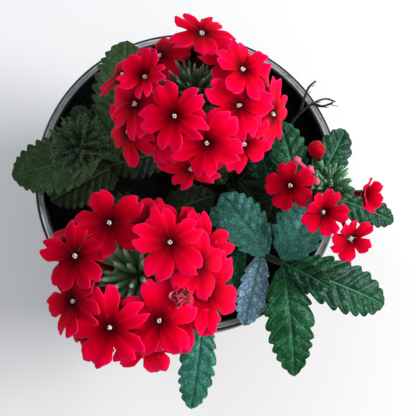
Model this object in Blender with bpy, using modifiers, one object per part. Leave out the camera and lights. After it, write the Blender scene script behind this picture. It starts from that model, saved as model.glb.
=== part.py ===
"""A red garden verbena growing in a black plastic nursery pot.

The frame has +Z up and its origin at the middle of the pot's underside.
Driving dimensions are in millimetres and are turned to metres as the meshes
are made. Azimuths are degrees round +Z from +X, and leans are degrees away
from +Z.
"""
import math
import random

import bmesh
import bpy
from mathutils import Matrix, Vector, noise

MM = 0.001
GAP = 0.3

# Pot
POT_HEIGHT = 95.0
RIM_RADIUS = 60.0
RIM_WIDTH = 4.0
LIP_DEPTH = 13.0
LIP_STEP = 1.6
BASE_RADIUS = 43.0
WALL = 1.5
FLOOR = 2.0
FOOT_HEIGHT = 1.5
POT_SIDES = 36
DRAIN_HOLES = 8
DRAIN_RADIUS = 4.0
DRAIN_RING = 34.0
EDGE = 0.8
LIP_SLOPE = 3.0
FOOT_WIDTH = 5.0
FOOT_SLOPE = 1.0
DRAIN_ROOM = 8.0

# Potting mix
SOIL_TOP = 80.0
SOIL_BUMP = 1.6
SOIL_BUMP_SIZE = 11.0
SOIL_RINGS = 5
SOIL_SIDES = 24
SOIL_ROOM = 0.5
HOLE_ROOM = 0.8

# Stems
STEM_RADIUS = 1.5
STEM_STEP = 8.0
CORE_RADIUS = 4.0
CORE_SIDES = 6

# Leaves
BLADE = 0.8
TOOTH_DEPTH = 0.22
LEAF_FOLD = 0.16
PETIOLE_HALF = 0.9

# Florets
PETALS = 5
PETAL_BLADE = 0.75
THROAT_RADIUS = 1.3
THROAT_DEPTH = 0.9
TUBE_RADIUS = 0.8
LEAN_SHARE = 0.7
SHINGLE_TWIST = 14.0
LAYER_STEP = 2.0
CALYX_LENGTH = 13.0
CALYX_RADIUS = 1.5
CALYX_ROOT = 0.6
CALYX_RIM = 0.8
ROOT_SHARE = 0.7
HEAD_STALK = 9.5
TUFT_CORE = 4.0
TUFT_REACH = 13.0
TUFT_STEP = 0.12
TUFT_SPREAD = 62
TUFT_CLEARANCE = 14.0
GOLDEN_ANGLE = math.degrees(math.pi * (3 - math.sqrt(5)))

# One petal's edge from its left sinus to its right one: degrees off the
# petal's middle, share of the petal's reach, and rise as a share of the reach.
PETAL_EDGE = (
    (35, 0.31, -0.03),
    (29, 0.70, 0.03),
    (14, 1.00, 0.0),
    (0, 0.87, 0.0),
    (-14, 1.00, 0.0),
    (-29, 0.70, 0.03),
)

# Stem routes, from the straight foot in the soil to the tip.
STEM_ROUTES = {
    "a": ((-6, 12, 71), (-6, 12, 84), (-5, 13, 104), (-3, 14, 124), (-1.5, 15, 140)),
    "b": ((-12, -14, 71), (-12, -14, 84), (-14, -24, 102), (-17, -38, 122), (-19, -45, 140)),
    "c": ((18, 0, 71), (18, 0, 84), (28, -2, 98), (40, -6, 110), (49, -8, 117)),
    "d": ((-20, 6, 71), (-20, 6, 84), (-28, 7, 98), (-37, 7, 107), (-41, 6, 112)),
    "e": ((14, -16, 71), (14, -16, 84), (20, -23, 97), (29, -32, 108), (34, -35, 114)),
    "f": ((2, -28, 71), (2, -28, 84), (4, -38, 96), (5, -48, 105), (5, -54, 108)),
}

# Leaves of each shoot: base on the stem, tip, width, arch, roll in degrees
# and the teeth on each side.
LEAVES = {
    "a": (
        ((-5, 13, 104), (-21, 38, 110), 15, 4, 0, 4),
        ((-5, 13, 104), (21, 27, 106), 15, 4, 0, 4),
        ((-4, 13.5, 116), (12, -6, 118), 12, 3, 0, 4),
        ((-4, 13.5, 116), (-20, 26, 122), 11, 3, 0, 4),
    ),
    "b": (
        ((-14, -24, 102), (-44, -33, 104), 17, 4, 0, 4),
        ((-14, -23, 101), (8, -20, 106), 14, 3, 0, 5),
        ((-16, -33, 115), (-38, -52, 116), 13, 4, 0, 4),
        ((-16, -33, 115), (-2, -46, 118), 12, 3, 0, 4),
    ),
    "c": (
        ((40, -6, 110), (33, 19, 114), 15, 3, 0, 6),
        ((31, -3, 101), (25, 11, 110), 13, 2, 0, 5),
        ((45, -7, 114), (58, 16, 115), 14, 3, 12, 6),
        ((46, -8, 115), (77, -18, 109), 13, 3, 0, 6),
        ((34, -4, 104), (28, -19, 110), 10, 2, 0, 4),
    ),
    "d": (
        ((-29, 7, 99), (-24, 53, 104), 20, 6, 0, 7),
        ((-34, 7, 104), (-67, -2, 107), 23, 3, 0, 7),
        ((-26, 6, 96), (-53, -10, 100), 19, 3, 0, 5),
        ((-36, 7, 106), (-50, 26, 108), 14, 3, 0, 5),
    ),
    "e": (
        ((34, -35, 113), (40, -76, 97), 19, 3, 0, 7),
        ((34, -35, 113), (74, -49, 102), 20, 4, 0, 7),
        ((34, -35, 113), (44, -12, 118), 20, 4, 0, 6),
        ((34, -35, 114), (51, -45, 119), 9, 2, 0, 4),
        ((29, -32, 108), (11, -10, 117), 18, 3, 0, 6),
        ((27, -30, 105), (21, -57, 98), 13, 2, 0, 5),
        ((21, -24, 98), (11, -53, 99), 9, 2, 0, 5),
    ),
    "f": (
        ((5, -52, 107), (1, -88, 96), 14, 3, 0, 7),
        ((4, -40, 98), (-22, -55, 102), 14, 3, 0, 4),
    ),
}

# Flower heads: the dome's centre, the throats' distance from it, the young
# green tip's azimuth and lean, and how many unopened calyces stand there.
HEADS = {
    "a": ((-1.5, 15.2, 150), 24.0, (90, 20), 20),
    "b": ((-19.0, -45.0, 150), 26.0, (-150, 20), 30),
}

# Florets of the two big heads: azimuth, lean, turn, petal reach, cupping, and
# the layer that each stands in, so that petals pass over one another.
FLORETS = {
    "a": (
        (82, 52, 60, 12.5, 4, 1),
        (173, 37, 60, 11.0, 26, 2),
        (25, 36, -45, 12.0, 6, 1),
        (-165, 52, -85, 12.5, 0, 1),
        (-122, 29, 98, 13.0, 0, 2),
        (-26, 36, 157, 13.0, 0, 2),
        (-80, 44, -95, 12.5, 0, 2),
        (-46, 65, -85, 12.0, 0, 1),
        (-124, 51, -100, 12.0, 0, -1),
        (9, 65, -20, 12.0, 0, 0),
        (46, 47, 30, 11.0, 4, -2),
        (161, 80, 180, 11.5, 0, 1),
        (-90, 76, -55, 12.0, 0, -1),
        (-151, 76, -110, 12.0, 0, 1),
        (-11, 77, -40, 12.0, 0, 2),
        (121, 40, 130, 11.0, 4, -2),
        (118, 95, 110, 11.5, 0, -2),
        (55, 84, 40, 11.5, 0, -1),
    ),
    "b": (
        (123, 39, 110, 13.0, 4, 1),
        (43, 31, 97, 13.5, 0, 2),
        (168, 51, 163, 12.5, 0, 2),
        (-156, 58, -172, 12.0, 10, 1),
        (-118, 50, 98, 13.5, 0, 1),
        (-68, 40, 92, 13.5, 0, 0),
        (87, 78, 66, 12.5, 0, 0),
        (54, 78, 60, 12.5, 0, 1),
        (3, 52, -10, 13.0, 0, 0),
        (25, 82, 20, 12.0, 0, -2),
        (-37, 82, -40, 12.5, 0, 2),
        (-82, 86, -70, 12.5, 0, 0),
        (142, 80, 165, 12.0, 0, 0),
        (-12, 84, -20, 12.0, 0, 0),
        (-135, 86, -110, 12.0, 0, 0),
    ),
}

# The young head on the right, and the unopened one on the left.
HEAD_C_CENTRE = (49.0, -8.0, 123.0)
HEAD_C_AXIS = (-15, 35)
HEAD_C_CALYCES = 24
HEAD_C_REACH = 11.0
HEAD_D_CENTRE = (-41.0, 6.0, 118.5)
HEAD_D_CALYCES = 38
HEAD_D_REACH = 13.0
HEAD_D_AXIS = (150, 12)
OPEN_RADIUS = 1.2
SPIKE_RADIUS = 1.05
SPIKE_TIP = 0.35

# Florets of the young head: throat, axis azimuth and lean, turn, reach, cup.
HEAD_C_FLORETS = (
    ((33, -11, 140), (-175, 14), 100, 9.0, 0),
    ((45, -20, 138), (-60, 22), 72, 9.5, 28),
    ((56, -28, 130), (-60, 40), 50, 9.0, 22),
    ((61, -12, 130), (-15, 62), 40, 7.5, 40),
)

# Closed buds: middle of the bud, its radius, and the head that bears it.
BUDS = (
    ((44, 4, 132), 3.2, "c"),
    ((37, 0, 131), 1.6, "c"),
    ((41, -4, 135), 1.5, "c"),
    ((43, -8.7, 136.3), 1.4, "c"),
    ((-6, -52, 163), 2.8, "b"),
    ((-35, -47, 161), 2.0, "b"),
)

BUD_CENTRES = {"b": Vector(HEADS["b"][0]), "c": Vector(HEAD_C_CENTRE)}

# Dry roots that hang over the rim behind the right-hand shoots.
DRY_ROOTS = (
    ((41, 25, 76), (41, 25, 84), (44, 27.5, 96), (49, 31, 98), (54, 33, 98), (58, 32, 97.5)),
    ((44, 27.5, 96), (45, 32, 99), (47, 37, 99.5), (50, 40, 98.5)),
    ((49, 31, 98), (52, 29, 101), (56, 30, 103)),
)
ROOT_RADIUS = 0.8

COLOURS = {
    "pot": ((0.012, 0.014, 0.015, 1), 0.45),
    "soil": ((0.012, 0.008, 0.006, 1), 0.95),
    "roots": ((0.03, 0.022, 0.018, 1), 0.9),
    "leaf": ((0.02, 0.12, 0.06, 1), 0.4),
    "calyx": ((0.05, 0.16, 0.06, 1), 0.7),
    "petal": ((0.72, 0.0, 0.03, 1), 0.55),
    "bud": ((0.5, 0.02, 0.06, 1), 0.5),
}


def vec(point):
    """Give a point in millimetres as a Vector in metres."""
    return Vector(point) * MM


def direction(azimuth, lean):
    """Give the unit vector at an azimuth, leaning away from +Z."""
    turn, tip = math.radians(azimuth), math.radians(lean)
    return Vector((math.sin(tip) * math.cos(turn), math.sin(tip) * math.sin(turn), math.cos(tip)))


def clear_scene():
    """Remove every object and make the two collections."""
    for obj in list(bpy.data.objects):
        bpy.data.objects.remove(obj, do_unlink=True)
    made = []
    for name in ("potted_verbena", "cutters"):
        collection = bpy.data.collections.new(name)
        bpy.context.scene.collection.children.link(collection)
        made.append(collection)
    return made


PARTS, CUTTERS = clear_scene()


def material(kind):
    """Get or make the plain material of one kind of piece."""
    found = bpy.data.materials.get(kind)
    if found:
        return found
    colour, roughness = COLOURS[kind]
    made = bpy.data.materials.new(kind)
    made.use_nodes = True
    shader = made.node_tree.nodes["Principled BSDF"]
    shader.inputs["Base Color"].default_value = colour
    shader.inputs["Roughness"].default_value = roughness
    shader.inputs["Metallic"].default_value = 0.0
    return made


def link_mesh(name, mesh, kind, collection=None):
    """Put a mesh in the scene as a named object."""
    obj = bpy.data.objects.new(name, mesh)
    (collection or PARTS).objects.link(obj)
    obj.data.materials.clear()
    obj.data.materials.append(material(kind))
    return obj


def object_from_bmesh(name, bm, kind, collection=None):
    """Close off a bmesh, face it outwards and link it as an object."""
    bmesh.ops.recalc_face_normals(bm, faces=bm.faces)
    mesh = bpy.data.meshes.new(name)
    bm.to_mesh(mesh)
    bm.free()
    return link_mesh(name, mesh, kind, collection)


def cutter(obj):
    """Mark an object as a cutter that the build leaves out."""
    obj.hide_render = True
    obj.display_type = "WIRE"
    return obj


def apply_modifiers(obj):
    """Swap an object's mesh for its evaluated one."""
    graph = bpy.context.evaluated_depsgraph_get()
    mesh = bpy.data.meshes.new_from_object(obj.evaluated_get(graph))
    obj.modifiers.clear()
    obj.data = mesh


def fuse(name, pieces, kind):
    """Join overlapping pieces into one body by a single Boolean union."""
    group = bpy.data.collections.new(name + "_pieces")
    bpy.context.scene.collection.children.link(group)
    for piece in pieces[1:]:
        PARTS.objects.unlink(piece)
        group.objects.link(piece)
    base = pieces[0]
    base.name = name
    union = base.modifiers.new("union", "BOOLEAN")
    union.operation = "UNION"
    union.operand_type = "COLLECTION"
    union.collection = group
    union.solver = "EXACT"
    apply_modifiers(base)
    for piece in pieces[1:]:
        bpy.data.objects.remove(piece, do_unlink=True)
    bpy.data.collections.remove(group)
    base.data.materials.clear()
    base.data.materials.append(material(kind))
    return base


def cut(obj, tools):
    """Cut a list of tools from an object."""
    group = bpy.data.collections.new(obj.name + "_tools")
    bpy.context.scene.collection.children.link(group)
    for tool in tools:
        group.objects.link(cutter(tool))
    difference = obj.modifiers.new("cut", "BOOLEAN")
    difference.operation = "DIFFERENCE"
    difference.operand_type = "COLLECTION"
    difference.collection = group
    difference.solver = "EXACT"
    apply_modifiers(obj)
    bpy.data.collections.remove(group)


def cylinder(name, radius, low, high, centre, kind, collection=None, sides=8):
    """Make an upright cylinder between two heights."""
    bm = bmesh.new()
    middle = Vector((centre[0], centre[1], (low + high) / 2)) * MM
    bmesh.ops.create_cone(
        bm, cap_ends=True, segments=sides, radius1=radius * MM, radius2=radius * MM,
        depth=(high - low) * MM, matrix=Matrix.Translation(middle))
    return object_from_bmesh(name, bm, kind, collection)


def turned(name, profile, kind, sides):
    """Turn a profile of radius and height pairs about +Z."""
    mesh = bpy.data.meshes.new(name)
    points = [vec((radius, 0, height)) for radius, height in profile]
    edges = [(i, i + 1) for i in range(len(points) - 1)]
    mesh.from_pydata(points, edges, [])
    obj = link_mesh(name, mesh, kind)
    screw = obj.modifiers.new("turn", "SCREW")
    screw.steps = sides
    screw.render_steps = sides
    screw.use_merge_vertices = True
    screw.merge_threshold = 0.00001
    screw.use_smooth_shade = False
    apply_modifiers(obj)
    return obj


def wall_radius(height):
    """Give the pot's outer wall radius below the lip at a height."""
    top = RIM_RADIUS - LIP_STEP
    return BASE_RADIUS + (top - BASE_RADIUS) * height / (POT_HEIGHT - LIP_DEPTH)


def inner_radius(height):
    """Give the radius inside the pot's wall at a height."""
    return wall_radius(height) - WALL


def make_pot():
    """Make the tapered pot with its lip, rolled rim and drain holes."""
    shoulder = POT_HEIGHT - LIP_DEPTH
    inner_top = RIM_RADIUS - RIM_WIDTH
    floor_height = FLOOR + FOOT_HEIGHT
    profile = (
        (0, floor_height),
        (inner_radius(floor_height), floor_height),
        (inner_radius(shoulder), shoulder),
        (inner_top, shoulder + LIP_SLOPE),
        (inner_top, POT_HEIGHT - EDGE),
        (inner_top + EDGE, POT_HEIGHT),
        (RIM_RADIUS - EDGE, POT_HEIGHT),
        (RIM_RADIUS, POT_HEIGHT - EDGE),
        (RIM_RADIUS, shoulder),
        (wall_radius(shoulder), shoulder),
        (BASE_RADIUS, 0),
        (BASE_RADIUS - FOOT_WIDTH, 0),
        (BASE_RADIUS - FOOT_WIDTH - FOOT_SLOPE, FOOT_HEIGHT),
        (DRAIN_RING - DRAIN_ROOM, FOOT_HEIGHT),
        (DRAIN_RING - DRAIN_ROOM - FOOT_SLOPE, 0),
        (0, 0),
    )
    pot = turned("pot", profile, "pot", POT_SIDES)
    tools = []
    for i in range(DRAIN_HOLES):
        angle = math.radians(360 * (i + 0.5) / DRAIN_HOLES)
        centre = (DRAIN_RING * math.cos(angle), DRAIN_RING * math.sin(angle))
        tools.append(cylinder(f"drain_{i}", DRAIN_RADIUS, -1, FLOOR + FOOT_HEIGHT + 1,
                              centre, "pot", CUTTERS))
    cut(pot, tools)
    pot.data.shade_smooth()
    pot.data.set_sharp_from_angle(angle=math.radians(35))
    return pot


def soil_height(x, y):
    """Give the height of the crumbly top of the potting mix."""
    spot = Vector((x, y, 0)) / SOIL_BUMP_SIZE
    return SOIL_TOP + SOIL_BUMP * noise.noise(spot)


def make_soil():
    """Make the potting mix that fills the pot, with the stems' holes."""
    floor_height = FLOOR + FOOT_HEIGHT + GAP
    edge = inner_radius(SOIL_TOP) - SOIL_ROOM
    rings = [(edge * i / SOIL_RINGS, SOIL_TOP) for i in range(SOIL_RINGS + 1)]
    low = inner_radius(floor_height) - SOIL_ROOM
    profile = rings + [(low, floor_height), (0, floor_height)]
    soil = turned("potting_mix", profile, "soil", SOIL_SIDES)
    for vertex in soil.data.vertices:
        if vertex.co.z > (SOIL_TOP - 1) * MM:
            vertex.co.z = soil_height(vertex.co.x / MM, vertex.co.y / MM) * MM
    tools = []
    feet = [(key, route[0]) for key, route in STEM_ROUTES.items()]
    for key, foot in feet:
        tools.append(cylinder(f"stem_hole_{key}", STEM_RADIUS + HOLE_ROOM, foot[2] - GAP,
                              SOIL_TOP + SOIL_BUMP * 2, foot, "soil", CUTTERS))
    foot = DRY_ROOTS[0][0]
    tools.append(cylinder("root_hole", ROOT_RADIUS + HOLE_ROOM, foot[2] - GAP,
                          SOIL_TOP + SOIL_BUMP * 2, foot, "soil", CUTTERS))
    cut(soil, tools)
    return soil


def smooth_route(points, step):
    """Read evenly spaced points from a smooth curve through a route."""
    spots = [Vector(p) for p in points]
    ends = [spots[0] * 2 - spots[1]] + spots + [spots[-1] * 2 - spots[-2]]
    route = [spots[0]]
    for i in range(len(spots) - 1):
        p0, p1, p2, p3 = ends[i:i + 4]
        count = max(1, round((p2 - p1).length / step))
        for k in range(1, count + 1):
            t = k / count
            curve = (2 * p1 + (p2 - p0) * t + (2 * p0 - 5 * p1 + 4 * p2 - p3) * t ** 2
                     + (3 * p1 - p0 - 3 * p2 + p3) * t ** 3) / 2
            route.append(curve)
    return route


def tube(name, route, radius, end_radius, kind):
    """Sweep a square stem along a route, thinning towards its end."""
    data = bpy.data.curves.new(name, "CURVE")
    data.dimensions = "3D"
    data.bevel_depth = MM
    data.bevel_resolution = 0
    data.use_fill_caps = True
    spline = data.splines.new("POLY")
    spline.points.add(len(route) - 1)
    for i, spot in enumerate(route):
        share = i / (len(route) - 1)
        spline.points[i].co = (*(spot * MM), 1)
        spline.points[i].radius = radius + (end_radius - radius) * share
    curve = bpy.data.objects.new(name, data)
    PARTS.objects.link(curve)
    graph = bpy.context.evaluated_depsgraph_get()
    mesh = bpy.data.meshes.new_from_object(curve.evaluated_get(graph))
    bpy.data.objects.remove(curve, do_unlink=True)
    bm = bmesh.new()
    bm.from_mesh(mesh)
    bmesh.ops.remove_doubles(bm, verts=bm.verts, dist=0.00001)
    return object_from_bmesh(name, bm, kind)


def sweep(bm, faces, keep):
    """Extrude faces, keep or drop the old ones, and give the new points and faces."""
    swept = bmesh.ops.extrude_face_region(bm, geom=faces)["geom"]
    if not keep:
        bmesh.ops.delete(bm, geom=faces, context="FACES")
    verts = [item for item in swept if isinstance(item, bmesh.types.BMVert)]
    return verts, [item for item in swept if isinstance(item, bmesh.types.BMFace)]


def thicken(bm, shift, marked=None):
    """Sweep an open sheet into a solid, and give the marked point's copy."""
    verts = sweep(bm, list(bm.faces), True)[0]
    twin = min(verts, key=lambda vertex: (vertex.co - marked.co).length) if marked else None
    bmesh.ops.translate(bm, verts=verts, vec=shift)
    return twin


def leaf_half_width(share, width):
    """Give a leaf's half width at a share of its length."""
    shape = (share ** 0.62) * ((1 - share) ** 0.8) / 0.428
    return max(PETIOLE_HALF, width / 2 * shape)


def leaf(name, base, tip, width, arch, roll, teeth):
    """Make one toothed blade, folded a little along its arched midrib."""
    start, end = Vector(base), Vector(tip)
    along = (end - start).normalized()
    side = along.cross(Vector((0, 0, 1))).normalized()
    side.rotate(Matrix.Rotation(math.radians(roll), 3, along))
    normal = side.cross(along).normalized()

    def surface(share, across):
        rise = arch * 4 * share * (1 - share) - LEAF_FOLD * abs(across) * (1 - share)
        return (start + (end - start) * share + side * across + normal * rise) * MM

    bm = bmesh.new()
    rib = [bm.verts.new(surface(i / teeth, 0)) for i in range(teeth + 1)]
    for sign in (-1, 1):
        notch = bm.verts.new(surface(0.01, sign * PETIOLE_HALF))
        bm.faces.new((rib[0], notch, rib[1]))
        for i in range(teeth):
            peak_share = (i + 0.8) / teeth
            peak_reach = leaf_half_width((i + 0.45) / teeth, width)
            peak = bm.verts.new(surface(min(peak_share, 0.97), sign * peak_reach))
            bm.faces.new((rib[i + 1], notch, peak))
            if i + 1 < teeth:
                reach = leaf_half_width((i + 1) / teeth, width) * (1 - TOOTH_DEPTH)
                notch = bm.verts.new(surface((i + 1.05) / teeth, sign * reach))
                bm.faces.new((rib[i + 1], peak, notch))
                bm.faces.new((rib[i + 1], notch, rib[i + 2]))
    thicken(bm, -normal * BLADE * MM)
    return object_from_bmesh(name, bm, "leaf")


def make_shoot(key):
    """Make one stem with the leaves that it bears."""
    route = smooth_route(STEM_ROUTES[key], STEM_STEP)
    pieces = [tube(f"shoot_{key}", route, STEM_RADIUS, STEM_RADIUS * 0.8, "leaf")]
    for i, sizes in enumerate(LEAVES[key]):
        pieces.append(leaf(f"blade_{key}_{i}", *sizes))
    return fuse(f"shoot_{key}", pieces, "leaf")


def ring_body(name, start, axis, rings, sides, kind, turn=0.0):
    """Stack rings of a given height and radius along an axis into a body."""
    bm = bmesh.new()
    height, radius = rings[0]
    first = bmesh.ops.create_circle(bm, cap_ends=True, radius=radius * MM, segments=sides)
    bmesh.ops.translate(bm, verts=first["verts"], vec=(0, 0, height * MM))
    cap = bm.faces[:][0]
    for i, (next_height, next_radius) in enumerate(rings[1:]):
        verts, faces = sweep(bm, [cap], i == 0)
        cap = faces[0]
        bmesh.ops.scale(bm, verts=verts, vec=[next_radius / radius] * 2 + [1])
        bmesh.ops.translate(bm, verts=verts, vec=(0, 0, (next_height - height) * MM))
        height, radius = next_height, next_radius
    frame = axis.to_track_quat("Z", "Y").to_matrix().to_4x4()
    spin = Matrix.Rotation(math.radians(turn), 4, "Z")
    bmesh.ops.transform(bm, verts=bm.verts, matrix=Matrix.Translation(start * MM) @ frame @ spin)
    return object_from_bmesh(name, bm, kind)


def spiral_directions(count, spread, axis):
    """Spread directions over a cap round an axis by the golden angle."""
    frame = direction(*axis).to_track_quat("Z", "Y").to_matrix()
    found = []
    for i in range(count):
        lean = spread * math.sqrt((i + 0.5) / count)
        found.append(frame @ direction(i * GOLDEN_ANGLE, lean))
    return found


def floret(name, throat, axis, turn, reach, cup, centre, mouth=CALYX_LENGTH, with_calyx=True):
    """Make one five-petalled floret, its tube and, where asked, its calyx."""
    turn_angle = math.radians(turn)
    toward = Vector((math.cos(turn_angle), math.sin(turn_angle), 0))
    across = axis.cross(toward).normalized()
    forward = across.cross(axis)
    rise = math.tan(math.radians(cup))

    def spot(angle, radius, height):
        flat = forward * math.cos(angle) + across * math.sin(angle)
        return (throat + flat * radius + axis * height) * MM

    bm = bmesh.new()
    eye = bm.verts.new((throat - axis * THROAT_DEPTH) * MM)
    step = math.radians(360 / PETALS)
    ring = [bm.verts.new(spot((i + 0.5) * step, THROAT_RADIUS, 0)) for i in range(PETALS)]
    edges = []
    for i in range(PETALS):
        verts = []
        for angle, share, lift in PETAL_EDGE:
            radius = reach * share * math.cos(math.radians(cup))
            height = reach * (lift + share * rise * math.cos(math.radians(cup)))
            verts.append(bm.verts.new(spot(i * step - math.radians(angle), radius, height)))
        edges.append(verts)
    for i in range(PETALS):
        left, right = ring[i - 1], ring[i]
        bm.faces.new((eye, left, right))
        edge = [left] + edges[i] + [edges[(i + 1) % PETALS][0], right]
        for j in (1, 2, 3):
            bm.faces.new((left, edge[j], edge[j + 1]))
        bm.faces.new((left, edge[4], right))
        for j in (4, 5, 6):
            bm.faces.new((right, edge[j], edge[j + 1]))
    low_eye = thicken(bm, -axis * PETAL_BLADE * MM, eye)
    faces, radius = list(low_eye.link_faces), THROAT_RADIUS
    down = (centre - throat).normalized()
    length = (centre - throat).length
    rings = [(length - mouth, TUBE_RADIUS)]
    if with_calyx:
        rings = [(length - mouth - CALYX_RIM, TUBE_RADIUS), (length - mouth, CALYX_RADIUS),
                 (length - CORE_RADIUS * ROOT_SHARE, CALYX_ROOT)]
    for distance, next_radius in rings:
        verts, faces = sweep(bm, faces, False)
        for vertex in verts:
            off = vertex.co / MM - throat
            off -= down * off.dot(down)
            vertex.co = (throat + down * distance + off * (next_radius / radius)) * MM
        radius = next_radius
    return object_from_bmesh(name, bm, "petal")


def core(centre, drop):
    """Make the little swelling at a head's middle, with its stalk below."""
    rings = (
        (-drop, 1.8),
        (-CORE_RADIUS, CORE_RADIUS * 0.9),
        (CORE_RADIUS * 0.6, CORE_RADIUS),
        (CORE_RADIUS, 2.0),
    )
    return ring_body("core", centre, Vector((0, 0, 1)), rings, CORE_SIDES, "calyx")


def make_head(key):
    """Make a full flower head, and the young green tuft at its top."""
    centre, distance, tip, young = HEADS[key]
    centre = Vector(centre)
    pieces = [core(centre, HEAD_STALK)]
    ways = [way for way, bearer in bud_ways() if bearer == key]
    for i, way in enumerate(ways):
        rings = ((CORE_RADIUS * ROOT_SHARE, CALYX_ROOT), (CALYX_LENGTH, CALYX_RADIUS))
        pieces.append(ring_body(f"bud_calyx_{i}", centre, way, rings, PETALS, "petal"))
    for i, (azimuth, lean, turn, reach, cup, layer) in enumerate(FLORETS[key]):
        way = direction(azimuth, lean)
        ways.append(way)
        axis = direction(azimuth, lean * LEAN_SHARE)
        axis.rotate(Matrix.Rotation(math.radians(SHINGLE_TWIST), 3, direction(azimuth, 90)))
        throat = centre + way * (distance + layer * LAYER_STEP)
        pieces.append(floret(f"floret_{i}", throat, axis, turn, reach, cup, centre))
    fuse(f"head_{key}_florets", pieces, "petal")
    make_tuft(key, centre, ways, tip, young)


def make_tuft(key, centre, ways, tip, count):
    """Make the unopened calyces at a head's middle, clear of the florets' tubes."""
    foot = centre + Vector((0, 0, CORE_RADIUS + GAP))
    rings = ((0, 1.5), (TUFT_CORE * 0.5, 1.9), (TUFT_CORE, 1.2))
    pieces = [ring_body("tuft_core", foot, Vector((0, 0, 1)), rings, CORE_SIDES, "calyx")]
    start = foot + Vector((0, 0, TUFT_CORE * 0.4))
    for i, way in enumerate(spiral_directions(count, TUFT_SPREAD, tip)):
        length = TUFT_REACH - i * TUFT_STEP
        lean = min((start + way * length - centre).angle(other) for other in ways)
        if lean < math.radians(TUFT_CLEARANCE):
            continue
        rings = ((0.8, 0.5), (length * 0.7, 1.1), (length, 0.8))
        pieces.append(ring_body(f"young_{i}", start, way, rings, PETALS, "calyx", i * 20))
    fuse(f"head_{key}_young_calyces", pieces, "calyx")


def make_spiky_head(key, centre, axis, count, reach, spread, open_ways=()):
    """Make a ball of narrow green calyces, and a wider one under each flower."""
    centre = Vector(centre)
    pieces = [core(centre, CORE_RADIUS + 1)]
    for i, way in enumerate(open_ways):
        rings = ((CORE_RADIUS * ROOT_SHARE, CALYX_ROOT), (reach, OPEN_RADIUS))
        pieces.append(ring_body(f"open_{i}", centre, way, rings, PETALS, "calyx"))
    draw = random.Random(len(key) + count)
    for i, way in enumerate(spiral_directions(count, spread, axis)):
        length = reach * draw.uniform(0.85, 1.0)
        rings = ((CORE_RADIUS * ROOT_SHARE, CALYX_ROOT), (length * 0.75, SPIKE_RADIUS), (length, SPIKE_TIP))
        pieces.append(ring_body(f"spike_{i}", centre, way, rings, 4, "calyx", i * 30))
    return fuse(f"head_{key}_calyces", pieces, "calyx")


def make_young_head():
    """Make the right-hand head: spiky calyces, four florets and buds."""
    centre = Vector(HEAD_C_CENTRE)
    ways = [(Vector(throat) - centre).normalized() for throat, *_ in HEAD_C_FLORETS]
    ways += [way for way, bearer in bud_ways() if bearer == "c"]
    make_spiky_head("c", HEAD_C_CENTRE, HEAD_C_AXIS, HEAD_C_CALYCES, HEAD_C_REACH, 75, ways)
    for i, (throat, axis, turn, reach, cup) in enumerate(HEAD_C_FLORETS):
        floret(f"head_c_floret_{i + 1}", Vector(throat), direction(*axis), turn, reach, cup,
               centre, HEAD_C_REACH + GAP, False)


def bud_ways():
    """List each bud's direction from its head's centre, and that head."""
    found = []
    for middle, _, key in BUDS:
        found.append(((Vector(middle) - BUD_CENTRES[key]).normalized(), key))
    return found


def make_buds():
    """Make the closed buds, each on its slender tube above its calyx."""
    inner = {"b": CALYX_LENGTH, "c": HEAD_C_REACH}
    ways = bud_ways()
    for i, (middle, radius, key) in enumerate(BUDS):
        way = ways[i][0]
        start = BUD_CENTRES[key] + way * (inner[key] + GAP)
        length = (Vector(middle) - start).length
        rings = (
            (0, TUBE_RADIUS * 0.9),
            (length - radius, TUBE_RADIUS * 1.1),
            (length - radius * 0.4, radius * 0.9),
            (length + radius * 0.4, radius),
            (length + radius, radius * 0.5),
        )
        ring_body(f"head_{key}_bud_{i + 1}", start, way, rings, 8, "bud")


def make_dry_roots():
    """Make the tuft of dry roots that hangs over the rim."""
    pieces = []
    for i, points in enumerate(DRY_ROOTS):
        route = smooth_route(points, STEM_STEP)
        pieces.append(tube(f"root_{i}", route, ROOT_RADIUS, ROOT_RADIUS * 0.7, "roots"))
    return fuse("dry_roots", pieces, "roots")


def main():
    """Build every piece of the plant and its pot."""
    make_pot()
    make_soil()
    for key in STEM_ROUTES:
        make_shoot(key)
    for key in HEADS:
        make_head(key)
    make_young_head()
    make_spiky_head("d", HEAD_D_CENTRE, HEAD_D_AXIS, HEAD_D_CALYCES, HEAD_D_REACH, 88)
    make_buds()
    make_dry_roots()


main()
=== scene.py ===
"""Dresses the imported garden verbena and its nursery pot.

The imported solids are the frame, and each sub-assembly below replaces its own
solids with finer pieces. Some florets, young calyces and inner leaves stand
where the solids have none, to match the photograph. Lengths are in millimetres
until a mesh is finished, azimuths are degrees round +Z from +X, and leans are
degrees away from +Z.
"""
import logging
import math
import random
from dataclasses import dataclass
from enum import Enum
from typing import Callable, Iterable, Sequence

import bmesh
import bpy
from mathutils import Matrix, Vector, noise

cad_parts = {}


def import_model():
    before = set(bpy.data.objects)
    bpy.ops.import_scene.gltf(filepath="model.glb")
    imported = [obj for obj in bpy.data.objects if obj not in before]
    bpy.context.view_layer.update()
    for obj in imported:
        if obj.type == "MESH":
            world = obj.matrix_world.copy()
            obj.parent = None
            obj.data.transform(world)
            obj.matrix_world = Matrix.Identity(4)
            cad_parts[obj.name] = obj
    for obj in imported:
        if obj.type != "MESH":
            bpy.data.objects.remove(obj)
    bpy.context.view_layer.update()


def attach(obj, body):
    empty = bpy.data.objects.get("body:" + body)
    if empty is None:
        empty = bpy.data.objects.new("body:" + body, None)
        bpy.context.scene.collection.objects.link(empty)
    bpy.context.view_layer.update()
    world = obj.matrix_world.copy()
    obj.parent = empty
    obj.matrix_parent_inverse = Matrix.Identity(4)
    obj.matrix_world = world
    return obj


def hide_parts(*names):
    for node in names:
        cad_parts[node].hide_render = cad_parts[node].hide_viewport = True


MM = 0.001
UP = Vector((0, 0, 1))
GOLDEN_ANGLE = math.degrees(math.pi * (3 - math.sqrt(5)))

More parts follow.
